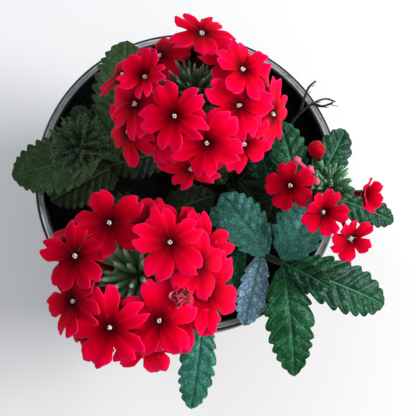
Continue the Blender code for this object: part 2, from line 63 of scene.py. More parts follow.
# A petal's thickness, and how far from its head's centre a bud of head b starts.
PETAL_THICKNESS = 0.3
BUD_FOOT = 13.3

LOG = logging.getLogger("verbena")

Point = tuple[float, float, float]
Colour = tuple[float, float, float, float]
Socket = bpy.types.NodeSocket

# The values that each kind of mesh carries on its points for its finish.
PETAL_VALUES = ("reach", "across", "tone", "edge")
GREEN_VALUES = ("along", "tone", "rib")
LEAF_VALUES = ("vein", "offset", "swell", "tone")


class Tone(Enum):
    """How pale a leaf is painted: the dull, dim and dark tones paint shade, PAINTED_SKY a reflection, the
    rest own colour with some painted light.
    """

    # Each value has to be its own, or two names stand for one and the same tone.
    DULL = 0.52
    DIM = 0.24
    DARK = 0.12
    DEEP = 0.08
    EMERALD = 0.1
    GREEN = 0.18
    SEA = 0.54
    TEAL = 0.66
    PAINTED_SKY = 1.0

    @property
    def shaded(self) -> bool:
        """Say whether the leaf's tone is painted shade."""
        return self in (Tone.DULL, Tone.DIM, Tone.DARK)


def direction(azimuth: float, lean: float) -> Vector:
    """Give the unit vector at an azimuth, leaning away from +Z."""
    turn, tip = math.radians(azimuth), math.radians(lean)
    return Vector((math.sin(tip) * math.cos(turn), math.sin(tip) * math.sin(turn), math.cos(tip)))


def ease(low: float, high: float, value: float) -> float:
    """Go smoothly from 0 at one value to 1 at another."""
    share = min(1.0, max(0.0, (value - low) / (high - low)))
    return share * share * (3 - 2 * share)


def spiral(count: int, spread: float, axis: Vector, hollow: float = 0.0) -> list[Vector]:
    """Spread directions over a cap by the golden angle.

    Args:
        count: How many directions.
        spread: The cap's half angle in degrees.
        axis: The cap's middle.
        hollow: How far from the middle the first directions lie, in degrees.

    Returns:
        The unit directions, from the middle outwards.
    """
    frame = axis.to_track_quat("Z", "Y").to_matrix()
    leans = [hollow + (spread - hollow) * math.sqrt((i + 0.5) / count) for i in range(count)]
    return [frame @ direction(i * GOLDEN_ANGLE, lean) for i, lean in enumerate(leans)]


def smooth_route(points: Sequence[Point], step: float) -> list[Vector]:
    """Read evenly spaced points from a smooth curve through a route.

    Args:
        points: The route's own points.
        step: About how far apart the points that are read lie.

    Returns:
        The points along the curve, from its first to its last.
    """
    spots = [Vector(point) for point in points]
    ends = [spots[0] * 2 - spots[1]] + spots + [spots[-1] * 2 - spots[-2]]
    route = [spots[0]]
    for i in range(len(spots) - 1):
        p0, p1, p2, p3 = ends[i:i + 4]
        count = max(1, round((p2 - p1).length / step))
        for k in range(1, count + 1):
            t = k / count
            curve = (2 * p1 + (p2 - p0) * t + (2 * p0 - 5 * p1 + 4 * p2 - p3) * t ** 2
                     + (3 * p1 - p0 - 3 * p2 + p3) * t ** 3) / 2
            route.append(curve)
    return route


def placed(axis: Vector, place: Vector, spin: float = 0.0) -> Matrix:
    """Give the matrix that stands a piece made along +Z on a spot.

    Args:
        axis: Where the piece's +Z goes.
        place: Where its origin goes, in millimetres.
        spin: Degrees that it turns about itself first.

    Returns:
        The matrix, still in millimetres.
    """
    frame = axis.to_track_quat("Z", "Y").to_matrix().to_4x4()
    return Matrix.Translation(place) @ frame @ Matrix.Rotation(math.radians(spin), 4, "Z")


def show(name: str, data: bpy.types.ID) -> bpy.types.Object:
    """Put a new object with its data in the scene."""
    made = bpy.data.objects.new(name, data)
    bpy.context.scene.collection.objects.link(made)
    return made


class Sheet:
    """A mesh in the making, with named values on its points."""

    def __init__(self, *values: str) -> None:
        """Start empty, with a float value of each name on every point."""
        self.bm = bmesh.new()
        self.layers = {name: self.bm.verts.layers.float.new(name) for name in values}

    def mark(self, verts: Iterable[bmesh.types.BMVert], **values: float) -> None:
        """Set named values on some points."""
        for vertex in verts:
            for name, value in values.items():
                vertex[self.layers[name]] = value

    def grid(self, columns: int, rows: int, shape: Callable[[float, float], tuple]) -> None:
        """Add a grid whose points a shape function puts in place.

        Args:
            columns: Faces along it.
            rows: Faces across it.
            shape: Turns along (0 to 1) and across (-1 to 1) to a place and its values.
        """
        made = bmesh.ops.create_grid(self.bm, x_segments=columns, y_segments=rows, size=0.5)
        for vertex in made["verts"]:
            vertex.co, values = shape(vertex.co.x + 0.5, vertex.co.y * 2)
            self.mark([vertex], **values)

    def loops(self, sides: int, count: int, turned: bool) -> list[list[bmesh.types.BMVert]]:
        """Add a closed tube whose rings of radius 1 all still lie in one place.

        Args:
            sides: Points round it.
            count: How many rings.
            turned: Turn the foot's face over before the rest grows from it.

        Returns:
            Each ring's points.
        """
        made = bmesh.ops.create_circle(self.bm, cap_ends=True, segments=sides, radius=1.0)["verts"]
        cap = made[0].link_faces[0]
        if turned:
            cap.normal_flip()
        loops = [list(made)]
        for i in range(1, count):
            swept = bmesh.ops.extrude_face_region(self.bm, geom=[cap])["geom"]
            if i > 1:
                bmesh.ops.delete(self.bm, geom=[cap], context="FACES_ONLY")
            loops.append([item for item in swept if isinstance(item, bmesh.types.BMVert)])
            cap = next(item for item in swept if isinstance(item, bmesh.types.BMFace))
        return loops

    def rings(self, frame: Matrix, rings: Sequence[tuple[float, float]], sides: int,
              form: Callable[[float, float], float] | None = None,
              values: Callable[[float, float], dict[str, float]] | None = None) -> None:
        """Add a closed body of rings along an axis.

        Args:
            frame: Stands the body, which is made along +Z.
            rings: Each ring's height and radius.
            sides: Points round it.
            form: Turns an angle and a height share to a factor on the radius.
            values: Turns an angle and a height share to the point's named values.
        """
        low, high = rings[0][0], rings[-1][0]
        for (height, radius), verts in zip(rings, self.loops(sides, len(rings), True)):
            share = (height - low) / (high - low)
            for vertex in verts:
                angle = math.atan2(vertex.co.y, vertex.co.x)
                reach = radius * (form(angle, share) if form else 1.0)
                vertex.co = frame @ Vector((reach * math.cos(angle), reach * math.sin(angle), height))
                if values:
                    self.mark([vertex], **values(angle, share))

    def sweep(self, route: Sequence[Vector], radii: Sequence[float], sides: int,
              squareness: float = 0.0, values: dict[str, float] | None = None) -> None:
        """Add a closed tube along a route.

        Args:
            route: The tube's middle line.
            radii: Its radius at each point of the route.
            sides: Points round it.
            squareness: How far its four corners stand out, as a share of the radius.
            values: The points' named values.
        """
        normal = (route[1] - route[0]).orthogonal().normalized()
        loops = self.loops(sides, len(route), False)
        for i, (spot, radius, verts) in enumerate(zip(route, radii, loops)):
            ahead = route[min(i + 1, len(route) - 1)] - route[max(i - 1, 0)]
            side = ahead.cross(normal).normalized()
            normal = side.cross(ahead).normalized()
            for vertex in verts:
                angle = math.atan2(vertex.co.y, vertex.co.x)
                reach = radius * (1 + squareness * math.cos(4 * angle))
                vertex.co = spot + (normal * math.cos(angle) + side * math.sin(angle)) * reach
            self.mark(verts, **(values or {}))

    def mesh(self, name: str) -> bpy.types.Mesh:
        """End the sheet as a mesh."""
        mesh = bpy.data.meshes.new(name)
        self.bm.to_mesh(mesh)
        self.bm.free()
        return mesh

    def take(self, mesh: bpy.types.Mesh) -> None:
        """Take in a mesh, and remove it."""
        self.bm.from_mesh(mesh)
        bpy.data.meshes.remove(mesh)

    def add(self, other: "Sheet") -> None:
        """Take in another mesh in the making, and end it."""
        self.take(other.mesh("scratch"))

    def template(self, name: str) -> bpy.types.Mesh:
        """End the sheet as a small mesh for stamping, facing outwards."""
        bmesh.ops.recalc_face_normals(self.bm, faces=self.bm.faces)
        return self.mesh(name)

    def stamp(self, template: bpy.types.Mesh, place: Matrix, **values: float) -> None:
        """Add a copy of a small finished mesh, with some of its values changed.

        Args:
            template: The mesh to copy.
            place: Where the copy goes.
            values: Named values for all its points.
        """
        copy = template.copy()
        copy.transform(place)
        before = len(self.bm.verts)
        self.take(copy)
        if values:
            self.bm.verts.ensure_lookup_table()
            self.mark(self.bm.verts[before:], **values)

    def piece(self, name: str, finish: bpy.types.Material, slot: str, nodes: Sequence[str],
              thickness: float = 0.0, outward: bool = True) -> bpy.types.Object:
        """Finish the mesh as a piece of the plant.

        Args:
            name: The piece's name.
            finish: Its material.
            slot: The record's material slot; not used.
            nodes: The solids that it stands for.
            thickness: A sheet's thickness in millimetres, put below it.
            outward: Turn the faces of closed bodies outwards.

        Returns:
            The piece, riding on the plant's one body.
        """
        if outward:
            bmesh.ops.recalc_face_normals(self.bm, faces=self.bm.faces)
        bmesh.ops.scale(self.bm, vec=(MM, MM, MM), verts=self.bm.verts)
        mesh = self.mesh(name)
        mesh.shade_smooth()
        mesh.materials.append(finish)
        obj = show(name, mesh)
        if thickness:
            solid = obj.modifiers.new("thickness", "SOLIDIFY")
            solid.thickness = thickness * MM
            solid.offset = -1.0
        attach(obj, "root")
        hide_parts(*nodes)
        LOG.info("%s: %d faces for %s", name, len(mesh.polygons), ", ".join(nodes))
        return obj


def linear(hex_colour: str) -> Colour:
    """Turn an sRGB hex value to linear colour."""
    parts = [int(hex_colour[i:i + 2], 16) / 255 for i in (1, 3, 5)]
    red, green, blue = [c / 12.92 if c <= 0.04045 else ((c + 0.055) / 1.055) ** 2.4 for c in parts]
    return red, green, blue, 1.0


def per_metre(size: float) -> float:
    """Give the texture scale whose pattern repeats every so many millimetres."""
    return 1.0 / (size * MM)


def add_node(tree: bpy.types.NodeTree, kind: str, settings: dict | None = None,
             inputs: dict | None = None, stops: Sequence[tuple[float, str]] = ()) -> bpy.types.Node:
    """Add one node with its settings, its inputs and its colour stops.

    Args:
        tree: The material's nodes.
        kind: The node's type.
        settings: Properties of the node.
        inputs: For each input, the output that feeds it or its constant value.
        stops: A colour ramp's positions and hex colours.

    Returns:
        The node.
    """
    made = tree.nodes.new(kind)
    for name, value in (settings or {}).items():
        setattr(made, name, value)
    for name, value in (inputs or {}).items():
        if isinstance(value, bpy.types.NodeSocket):
            tree.links.new(value, made.inputs[name])
        else:
            made.inputs[name].default_value = value
    for i, (position, colour) in enumerate(stops):
        ramp = made.color_ramp.elements
        stop = ramp[i] if i < 2 else ramp.new(position)
        stop.position = position
        stop.color = linear(colour)
    return made


class Skin:
    """A material in the making: most methods add one node and give its output."""

    def __init__(self, name: str, **sockets: object) -> None:
        """Start the material, with constant values on its shader's sockets.

        Args:
            name: The material's name.
            sockets: The shader's inputs, with an underscore for each space.
        """
        self.material = bpy.data.materials.new(name)
        self.material.use_nodes = True
        self.tree = self.material.node_tree
        self.shader = self.tree.nodes["Principled BSDF"]
        for socket, value in sockets.items():
            self.shader.inputs[socket.replace("_", " ")].default_value = value

    def feed(self, socket: str, output: Socket) -> None:
        """Link an output to one of the shader's inputs."""
        self.tree.links.new(output, self.shader.inputs[socket])

    def value(self, name: str) -> Socket:
        """Read a named value of the mesh's points."""
        return add_node(self.tree, "ShaderNodeAttribute", {"attribute_name": name}).outputs["Fac"]

    def place(self) -> Socket:
        """Read the Object coordinates."""
        return add_node(self.tree, "ShaderNodeTexCoord").outputs["Object"]

    def split(self, vector: Socket) -> list[Socket]:
        """Take a vector apart."""
        return list(add_node(self.tree, "ShaderNodeSeparateXYZ", None, {0: vector}).outputs)

    def join(self, x: Socket, y: Socket, z: Socket | float = 0.0) -> Socket:
        """Make a vector of its parts."""
        return add_node(self.tree, "ShaderNodeCombineXYZ", None, {"X": x, "Y": y, "Z": z}).outputs[0]

    def stretch(self, vector: Socket, scale: Point) -> Socket:
        """Scale a vector by a factor for each axis."""
        return add_node(self.tree, "ShaderNodeMapping", None, {"Vector": vector, "Scale": scale}).outputs[0]

    def math(self, operation: str, *inputs: Socket | float, clamp: bool = False) -> Socket:
        """Do one sum with outputs and constants."""
        return add_node(self.tree, "ShaderNodeMath", {"operation": operation, "use_clamp": clamp},
                        dict(enumerate(inputs))).outputs[0]

    def remap(self, value: Socket, source: tuple = (0.0, 1.0), target: tuple = (0.0, 1.0),
              smooth: bool = False) -> Socket:
        """Stretch one range of values to another, and hold what lies outside it."""
        return add_node(self.tree, "ShaderNodeMapRange",
                        {"interpolation_type": "SMOOTHSTEP" if smooth else "LINEAR"},
                        {"Value": value, "From Min": source[0], "From Max": source[1],
                         "To Min": target[0], "To Max": target[1]}).outputs[0]

    def noise(self, vector: Socket, scale: float, detail: float = 2.0,
              roughness: float = 0.5) -> Socket:
        """Draw a cloudy pattern."""
        return add_node(self.tree, "ShaderNodeTexNoise", None, {
            "Vector": vector, "Scale": scale, "Detail": detail, "Roughness": roughness}).outputs["Fac"]

    def cells(self, vector: Socket, scale: float, feature: str = "F1", uneven: float = 1.0) -> Socket:
        """Draw a pattern of cells, as distances from their middles or their edges."""
        return add_node(self.tree, "ShaderNodeTexVoronoi", {"feature": feature}, {
            "Vector": vector, "Scale": scale, "Randomness": uneven}).outputs["Distance"]

    def ramp(self, value: Socket, stops: Sequence[tuple[float, str]]) -> Socket:
        """Turn a value to a colour."""
        return add_node(self.tree, "ShaderNodeValToRGB", None, {"Fac": value}, stops).outputs[0]

    def mix(self, share: Socket, first: Socket | Colour, second: Socket | Colour) -> Socket:
        """Go from one colour to another."""
        return add_node(self.tree, "ShaderNodeMix", {"data_type": "RGBA"},
                        {0: share, 6: first, 7: second}).outputs[2]

    def scaled(self, colour: Socket, factor: Socket) -> Socket:
        """Brighten or darken a colour."""
        return add_node(self.tree, "ShaderNodeVectorMath", {"operation": "SCALE"},
                        {0: colour, "Scale": factor}).outputs[0]

    def length(self, vector: Socket) -> Socket:
        """Measure a vector."""
        return add_node(self.tree, "ShaderNodeVectorMath", {"operation": "LENGTH"},
                        {0: vector}).outputs["Value"]

    def bump(self, height: Socket, strength: float, depth: float) -> None:
        """Put a relief on the surface, so many millimetres deep."""
        relief = add_node(self.tree, "ShaderNodeBump", None, {
            "Height": height, "Strength": strength, "Distance": depth * MM})
        self.feed("Normal", relief.outputs["Normal"])


@dataclass(frozen=True)
class Finish:
    """What every finish has: a name, a roughness, and a gloss level."""

    name: str
    roughness: float = 0.6
    specular: float = 0.5

    def start(self, **sockets: object) -> Skin:
        """Start the material, with further constant values on the shader's sockets."""
        return Skin(self.name, Roughness=self.roughness, Specular_IOR_Level=self.specular, **sockets)


@dataclass(frozen=True)
class PetalVelvet(Finish):
    """Living petal skin: tiny domed cells give a velvety sheen over deep crimson."""

    # The deep ramp paints shaded florets and the bright one lit florets; the dark throat is partly the
    # petal's own colour and partly painted shade in the funnel.
    deep: tuple = ((0.0, "#300104"), (0.15, "#4a0208"), (0.27, "#66010e"), (0.4, "#840013"),
                   (0.55, "#9c0017"), (0.7, "#b0001c"), (0.85, "#c00022"), (1.0, "#d2002e"))
    bright: tuple = ((0.0, "#440106"), (0.14, "#66010c"), (0.23, "#8a0013"), (0.34, "#b4001b"),
                     (0.48, "#d60022"), (0.65, "#ee002e"), (0.84, "#fc0042"), (1.0, "#ff1058"))
    edge: str = "#ff4c80"
    streak: float = 0.09
    cell: float = 0.35
    dust: float = 5.5

    def make(self) -> bpy.types.Material:
        """Colour from the dark throat to the paler edge, streaked along each petal, with painted light and
        shade.
        """
        skin = self.start(Specular_Tint=linear("#ff3058"), Sheen_Weight=0.02,
                          Sheen_Tint=linear("#ff0040"))
        reach, across, tone, edge = [skin.value(name) for name in PETAL_VALUES]
        place = skin.place()
        drawn = skin.stretch(skin.join(across, reach, tone), (7.0, 1.1, 37.0))
        streaks = skin.noise(drawn, 1.6, detail=3.0)
        shifted = skin.math("MULTIPLY_ADD", skin.math("SUBTRACT", streaks, 0.5), self.streak, reach)
        body = skin.mix(tone, skin.ramp(shifted, self.deep), skin.ramp(shifted, self.bright))
        # The paler edge is partly the petal's own margin and partly a painted highlight.
        pale_edge_and_highlight = skin.remap(edge, (0.93, 1.02), (0.0, 0.25), smooth=True)
        # Real pollen grains are finer, so each speck stands for a few of them.
        pollen = skin.remap(skin.cells(place, per_metre(self.dust)), (0.04, 0.02), (0.0, 0.6))
        skin.feed("Base Color", skin.mix(skin.math("MAXIMUM", pale_edge_and_highlight, pollen), body, linear(self.edge)))
        # The real cells are some 0.03 mm across, so they are drawn larger to show at all.
        cells = skin.noise(place, per_metre(self.cell), detail=1.0)
        skin.bump(skin.math("MULTIPLY_ADD", cells, 0.35, streaks), strength=0.45, depth=0.22)
        return skin.material


@dataclass(frozen=True)
class QuiltedLeaf(Finish):
    """Living leaf: waxy skin that swells between sunken veins."""

    stops: tuple = ((0.0, "#0e180a"), (1.0, "#4e7044"), (0.3, "#1f3218"), (0.5, "#3a5631"))
    rib: str = "#48663e"
    painted_glint: str = "#587450"
    gloss: float = 0.05
    sky: str = "#ffffff"
    mesh: float = 1.3
    wrinkle: float = 2.2
    mottle: float = 9.0

    def make(self) -> bpy.types.Material:
        """Draw the midrib, the side veins and the fine net between them, with painted light and shade on the
        quilting.
        """
        skin = self.start(Coat_Weight=self.gloss, Coat_Roughness=0.26, Coat_Tint=linear(self.sky),
                          Specular_Tint=linear(self.sky))
        vein, offset, swell, tone = [skin.value(name) for name in LEAF_VALUES]
        place = skin.place()
        side_vein = skin.remap(skin.math("PINGPONG", vein, 0.5), (0.01, 0.05), (0.85, 0.0), smooth=True)
        midrib = skin.remap(skin.math("ABSOLUTE", offset), (0.15, 0.5), (1.0, 0.0), smooth=True)
        veins = skin.math("MAXIMUM", side_vein, midrib)
        net = skin.cells(place, per_metre(self.mesh), "DISTANCE_TO_EDGE", uneven=0.9)
        cells = skin.remap(net, (0.0, 0.25), smooth=True)
        patches = skin.noise(place, per_metre(self.mottle), detail=4.0)
        # The tone mixes the leaf's own colour with painted light and shade.
        tint = skin.math("MULTIPLY_ADD", patches, 0.45, tone)
        blade = skin.ramp(skin.math("SUBTRACT", tint, 0.23, clamp=True), self.stops)
        # Painted light and shade: the swollen blisters are lightened, and the sunken net and grooves
        # darkened.
        swell_light_and_shade = skin.remap(swell, target=(0.62, 1.12))
        net_shade = skin.remap(cells, target=(0.62, 1.08))
        dimmed = skin.scaled(blade, skin.math("MULTIPLY", swell_light_and_shade, net_shade))
        ribbed = skin.mix(skin.math("MULTIPLY", veins, 0.55), dimmed, linear(self.rib))
        # Painted highlights: short pale strokes on the tops of the wrinkles, which also raise the bump.
        crest_glints = self.wrinkles(skin, place, patches)
        skin.feed("Base Color", skin.mix(crest_glints, ribbed, linear(self.painted_glint)))
        sunk = skin.math("SUBTRACT", cells, veins)
        skin.bump(skin.math("ADD", sunk, crest_glints), strength=0.5, depth=0.22)
        return skin.material

    def wrinkles(self, skin: Skin, place: Socket, patches: Socket) -> Socket:
        """Mark the tops of the wrinkles between the veins, where short pale glints are painted.

        Args:
            skin: The material in the making.
            place: The Object coordinates.
            patches: A broad mottle, which breaks the crests up.

        Returns:
            How much each spot is a crest, from 0 to about a fifth.
        """
        # Real wrinkles are about half as far apart, so these are drawn coarser to show.
        folds = skin.noise(place, per_metre(self.wrinkle), detail=1.5)
        lines = skin.math("COMPARE", folds, 0.5, 0.016)
        broken = skin.noise(place, per_metre(self.wrinkle * 1.4), detail=0.0)
        glint_share = skin.remap(skin.math("ADD", broken, patches), (0.9, 1.15), (0.0, 0.22))
        return skin.math("MULTIPLY", lines, glint_share)


@dataclass(frozen=True)
class DownyGreen(Finish):
    """Green stem and calyx tissue under short down, which turns its edges pale."""

    stops: tuple = ((0.0, "#3a5c30"), (0.35, "#2f6238"), (0.8, "#4c8a5c"), (1.0, "#78b088"))
    grain: float = 0.5

    def make(self) -> bpy.types.Material:
        """Shade from the pale root to the dark tip."""
        skin = self.start(Sheen_Weight=0.15, Sheen_Tint=linear("#c4d8c0"))
        along, tone, rib = [skin.value(name) for name in GREEN_VALUES]
        mottle = skin.noise(skin.place(), per_metre(self.grain))
        # The rib value paints light on the ribs and shade in the grooves; the mottle is the tissue's own.
        grain = skin.math("MULTIPLY", skin.remap(rib, target=(0.25, 1.6)),
                          skin.remap(mottle, target=(0.7, 1.3)))
        light = skin.math("MULTIPLY", skin.remap(tone, target=(0.55, 1.5)), grain)
        skin.feed("Base Color", skin.scaled(skin.ramp(along, self.stops), light))
        skin.bump(mottle, strength=0.4, depth=0.15)
        return skin.material


@dataclass(frozen=True)
class PlainTissue(Finish):
    """Small soft tissue in one pair of colours, such as the throat's white hairs."""

    low: str = "#cfc6b4"
    high: str = "#f4efe6"
    grain: float = 0.6

    def make(self) -> bpy.types.Material:
        """Mottle the surface between its two colours."""
        skin = self.start(Sheen_Weight=0.2)
        mottle = skin.noise(skin.place(), per_metre(self.grain), detail=3.0)
        skin.feed("Base Color", skin.ramp(mottle, ((0.35, self.low), (0.65, self.high))))
        skin.bump(mottle, strength=0.3, depth=0.1)
        return skin.material


@dataclass(frozen=True)
class FormedPlastic(Finish):
    """Thin black polypropylene, vacuum formed: hair scratches, and a pale rim top that is partly wear and
    partly a painted highlight.
    """

    body: str = "#0b0f11"
    wear_and_highlight: str = "#f2f6f6"
    scratch: float = 0.7
    rim: tuple = (94.2, 94.9)
    band: tuple = (57.0, 57.4, 58.7, 59.0)
    speckle: tuple = (0.5, 5.0)

    def make(self) -> bpy.types.Material:
        """Scratch the walls lightly, and paint the top of the rim pale, as wear and a highlight, a little
        paler on the lit side.
        """
        skin = self.start(Coat_Weight=0.1, Coat_Roughness=0.2)
        place = skin.place()
        upright = 9.0
        scuffs = skin.noise(skin.stretch(place, (1.0, 1.0, upright)), per_metre(self.scratch * upright),
                            detail=5.0, roughness=0.7)
        x, y, z = skin.split(place)
        top = skin.remap(z, tuple(height * MM for height in self.rim), smooth=True)
        radius = skin.length(skin.join(x, y))
        inner, inner_end, outer, outer_end = [edge * MM for edge in self.band]
        band = skin.math("MULTIPLY", skin.remap(radius, (inner, inner_end)),
                         skin.remap(radius, (outer_end, outer)))
        wide, long = self.speckle
        across = skin.math("MULTIPLY", radius, per_metre(wide))
        along = skin.math("MULTIPLY", skin.math("ARCTAN2", y, x), inner / (long * MM))
        grit = skin.noise(skin.join(across, along), 1.0, detail=4.0, roughness=0.75)
        # The pale band is partly real wear and partly the painted highlight of the glossy rim.
        wear_and_highlight = skin.math("MULTIPLY", band, skin.remap(grit, (0.3, 0.5)))
        # Painted light: the band is a little paler on the +X side, where the key light stands.
        lit_side = skin.remap(x, (-outer, outer), (0.9, 1.0))
        rim_wear_and_highlight = skin.math("MULTIPLY", top, skin.math("MULTIPLY", wear_and_highlight, lit_side))
        skin.feed("Base Color", skin.mix(rim_wear_and_highlight, linear(self.body), linear(self.wear_and_highlight)))
        skin.feed("Roughness", skin.remap(scuffs, target=(0.22, 0.55)))
        skin.bump(scuffs, strength=0.2, depth=0.2)
        return skin.material


@dataclass(frozen=True)
class DampPeat(Finish):
    """Damp black peat: crumbs of several sizes that hardly shine."""

    stops: tuple = ((0.35, "#020202"), (0.75, "#1b1612"), (0.55, "#080706"))
    crumb: float = 2.2

    def make(self) -> bpy.types.Material:
        """Break the surface up in crumbs, with a few browner fibres."""
        skin = self.start()
        grains = skin.noise(skin.place(), per_metre(self.crumb), detail=6.0, roughness=0.75)
        skin.feed("Base Color", skin.ramp(grains, self.stops))
        skin.bump(grains, strength=1.0, depth=0.8)
        return skin.material


@dataclass(frozen=True)
class PalePaper(Finish):
    """The plain pale ground under the pot."""

    colour: str = "#f2f2f2"
    fibre: float = 3.0

    def make(self) -> bpy.types.Material:
        """Lay a faint fibre grain over one pale colour."""
        skin = self.start(Base_Color=linear(self.colour))
        skin.bump(skin.noise(skin.place(), per_metre(self.fibre)), strength=0.02, depth=0.1)
        return skin.material


@dataclass(frozen=True)
class Palette:
    """Every finish of the plant, made once."""

    petal: bpy.types.Material
    shaded_leaf: bpy.types.Material
    leaf: bpy.types.Material
    down: bpy.types.Material
    tuft_down: bpy.types.Material
    shaded_down: bpy.types.Material
    eye: bpy.types.Material
    hair: bpy.types.Material
    bud: bpy.types.Material
    pink_bud: bpy.types.Material
    plastic: bpy.types.Material
    peat: bpy.types.Material
    root: bpy.types.Material
    paper: bpy.types.Material

    @classmethod
    def make(cls) -> "Palette":
        """Make all the materials."""
        return cls(
            petal=PetalVelvet("verbena_petal_velvet", 0.65, 0.06).make(),
            # The shaded leaf and downy finishes are darker copies that paint shade, and the glossy leaf's
            # palest stop paints a reflection.
            shaded_leaf=QuiltedLeaf("dull_shaded_verbena_leaf", 0.65, 0.12).make(),
            leaf=QuiltedLeaf("glossy_verbena_leaf", 0.34, 0.17, (
                (0.0, "#08300f"), (1.0, "#b4e4ff"), (0.22, "#1f6a2e"), (0.48, "#2a8058"),
                (0.72, "#5cac9c")), "#58986e", "#8cd8d0", 0.14, "#b0dcff").make(),
            down=DownyGreen("downy_green_tissue", 0.65, 0.25).make(),
            tuft_down=DownyGreen("young_calyx_down", 0.7, 0.2, (
                (0.0, "#303f26"), (0.4, "#466c3c"), (0.8, "#5a8c60"), (1.0, "#a0c8a4"))).make(),
            shaded_down=DownyGreen("shaded_downy_tissue", 0.75, 0.25, (
                (0.0, "#2c3c22"), (0.4, "#26401f"), (0.8, "#34522e"), (1.0, "#3c5a3a"))).make(),
            eye=PlainTissue("white_throat_hairs", 0.6, 0.4).make(),
            hair=PlainTissue("pale_plant_hair", 0.5, 0.5, "#7c987c", "#d0dccc").make(),
            bud=PetalVelvet("closed_petal_satin", 0.45, 0.15, edge="#f4608c").make(),
            pink_bud=PetalVelvet("pale_opening_petal_satin", 0.5, 0.15, bright=(
                (0.0, "#c84060"), (0.3, "#dc5474"), (0.55, "#e86484"), (1.0, "#f48ca4")),
                edge="#f8a0b4").make(),
            plastic=FormedPlastic("black_formed_polypropylene", 0.35, 0.35).make(),
            peat=DampPeat("damp_black_peat", 0.9, 0.2).make(),
            root=PlainTissue("dry_wiry_root", 0.8, 0.3, "#120d0a", "#3a2c22", 1.2).make(),
            paper=PalePaper("pale_paper_ground", 0.9, 0.1).make(),
        )


@dataclass
class HairCoat:
    """The stiff hairs of one sub-assembly, gathered as they are set."""

    draw: random.Random
    length: float = 1.0
    radius: float = 0.06
    sides: int = 3

    def __post_init__(self) -> None:
        """Make the small mesh of one hair along +Z, and set none yet."""
        self.sheet = Sheet()
        one = Sheet()
        bmesh.ops.create_cone(
            one.bm, cap_ends=True, segments=self.sides, radius1=self.radius, radius2=0.0,
            depth=self.length, matrix=Matrix.Translation((0, 0, self.length / 2)))
        self.one = one.template("hair")

    def along(self, start: Vector, end: Vector, radius: float, count: int, slant: float = 0.5) -> None:
        """Set hairs round a slim body.

        Args:
            start: The body's foot.
            end: Its tip.
            radius: Its radius.
            count: How many hairs.
            slant: How far they lean towards the tip.
        """
        axis = (end - start).normalized()
        side = axis.orthogonal().normalized()
        for i in range(count):
            out = side.copy()
            out.rotate(Matrix.Rotation(self.draw.uniform(0, math.tau), 3, axis))
            foot = start.lerp(end, (i + self.draw.random()) / count) + out * radius * 0.8
            way = (out + axis * slant).normalized()
            size = self.draw.uniform(0.6, 1.1)
            self.sheet.stamp(self.one, placed(way, foot) @ Matrix.Diagonal((1, 1, size, 1)))

    def piece(self, name: str, palette: Palette, slot: str, nodes: Sequence[str]) -> None:
        """Finish all the hairs as one piece."""
        self.sheet.piece(name, palette.hair, slot, nodes)


@dataclass(frozen=True)
class PetalForm:
    """The outline and relief of a petal, mostly as shares of its reach."""

    columns: int = 11
    rows: int = 20
    start: float = 0.6
    joined: float = 0.32
    join_slope: float = 0.74
    blade: float = 0.39
    widest: float = 0.84
    notch: float = 0.21
    notch_width: float = 0.19
    shoulder: float = 0.36
    arch: float = 0.075
    groove: float = 0.007
    droop: float = 0.13
    ruffle: float = 0.05
    shingle: float = 0.09
    fray: float = 0.06
    funnel: float = 0.9

    def half_width(self, share: float) -> float:
        """Give the petal's half width at a share of its reach: joined at first, then a blade."""
        low = self.join_slope * self.joined
        return self.join_slope * min(share, self.joined) + (self.blade - low) * ease(0.2, self.widest, share)

    def spot(self, along: float, across: float, reach: float, seed: float) -> Point:
        """Give one point of the petal.

        Args:
            along: Share of the way from the throat to the edge.
            across: From -1 at one side to 1 at the other.
            reach: The petal's reach in millimetres.
            seed: Sets how this petal differs from the others.

        Returns:
            Its place forward, to the left and up, in millimetres.
        """
        side = abs(across)
        depth = self.notch * (1 + 0.45 * math.sin(seed * 2.1))
        end = 1 - depth * math.exp(-(across / self.notch_width) ** 2) - self.shoulder * side ** 2.3
        end += self.fray * noise.noise(Vector((across * 4.5 + seed, seed * 3.1, 0.5)))
        forward = self.start + (reach * end - self.start) * along
        share = forward / reach
        left = across * reach * self.half_width(share) * (1 + 0.1 * math.sin(seed * 3.3))
        up = -self.arch * reach * across ** 2 * ease(0.25, 0.85, share)
        up -= self.groove * reach * math.exp(-(across / 0.14) ** 2) * ease(0.1, 0.4, share)
        up -= self.droop * reach * share ** 3 * (1 + 0.6 * math.sin(seed * 1.7))
        up += self.ruffle * reach * share ** 2 * math.sin(math.tau * (across * 0.7 + seed * 0.37))
        up += self.shingle * left * ease(0.15, 0.5, share)
        up -= self.funnel * math.exp(-(forward / 1.1) ** 2)
        return forward, left, up


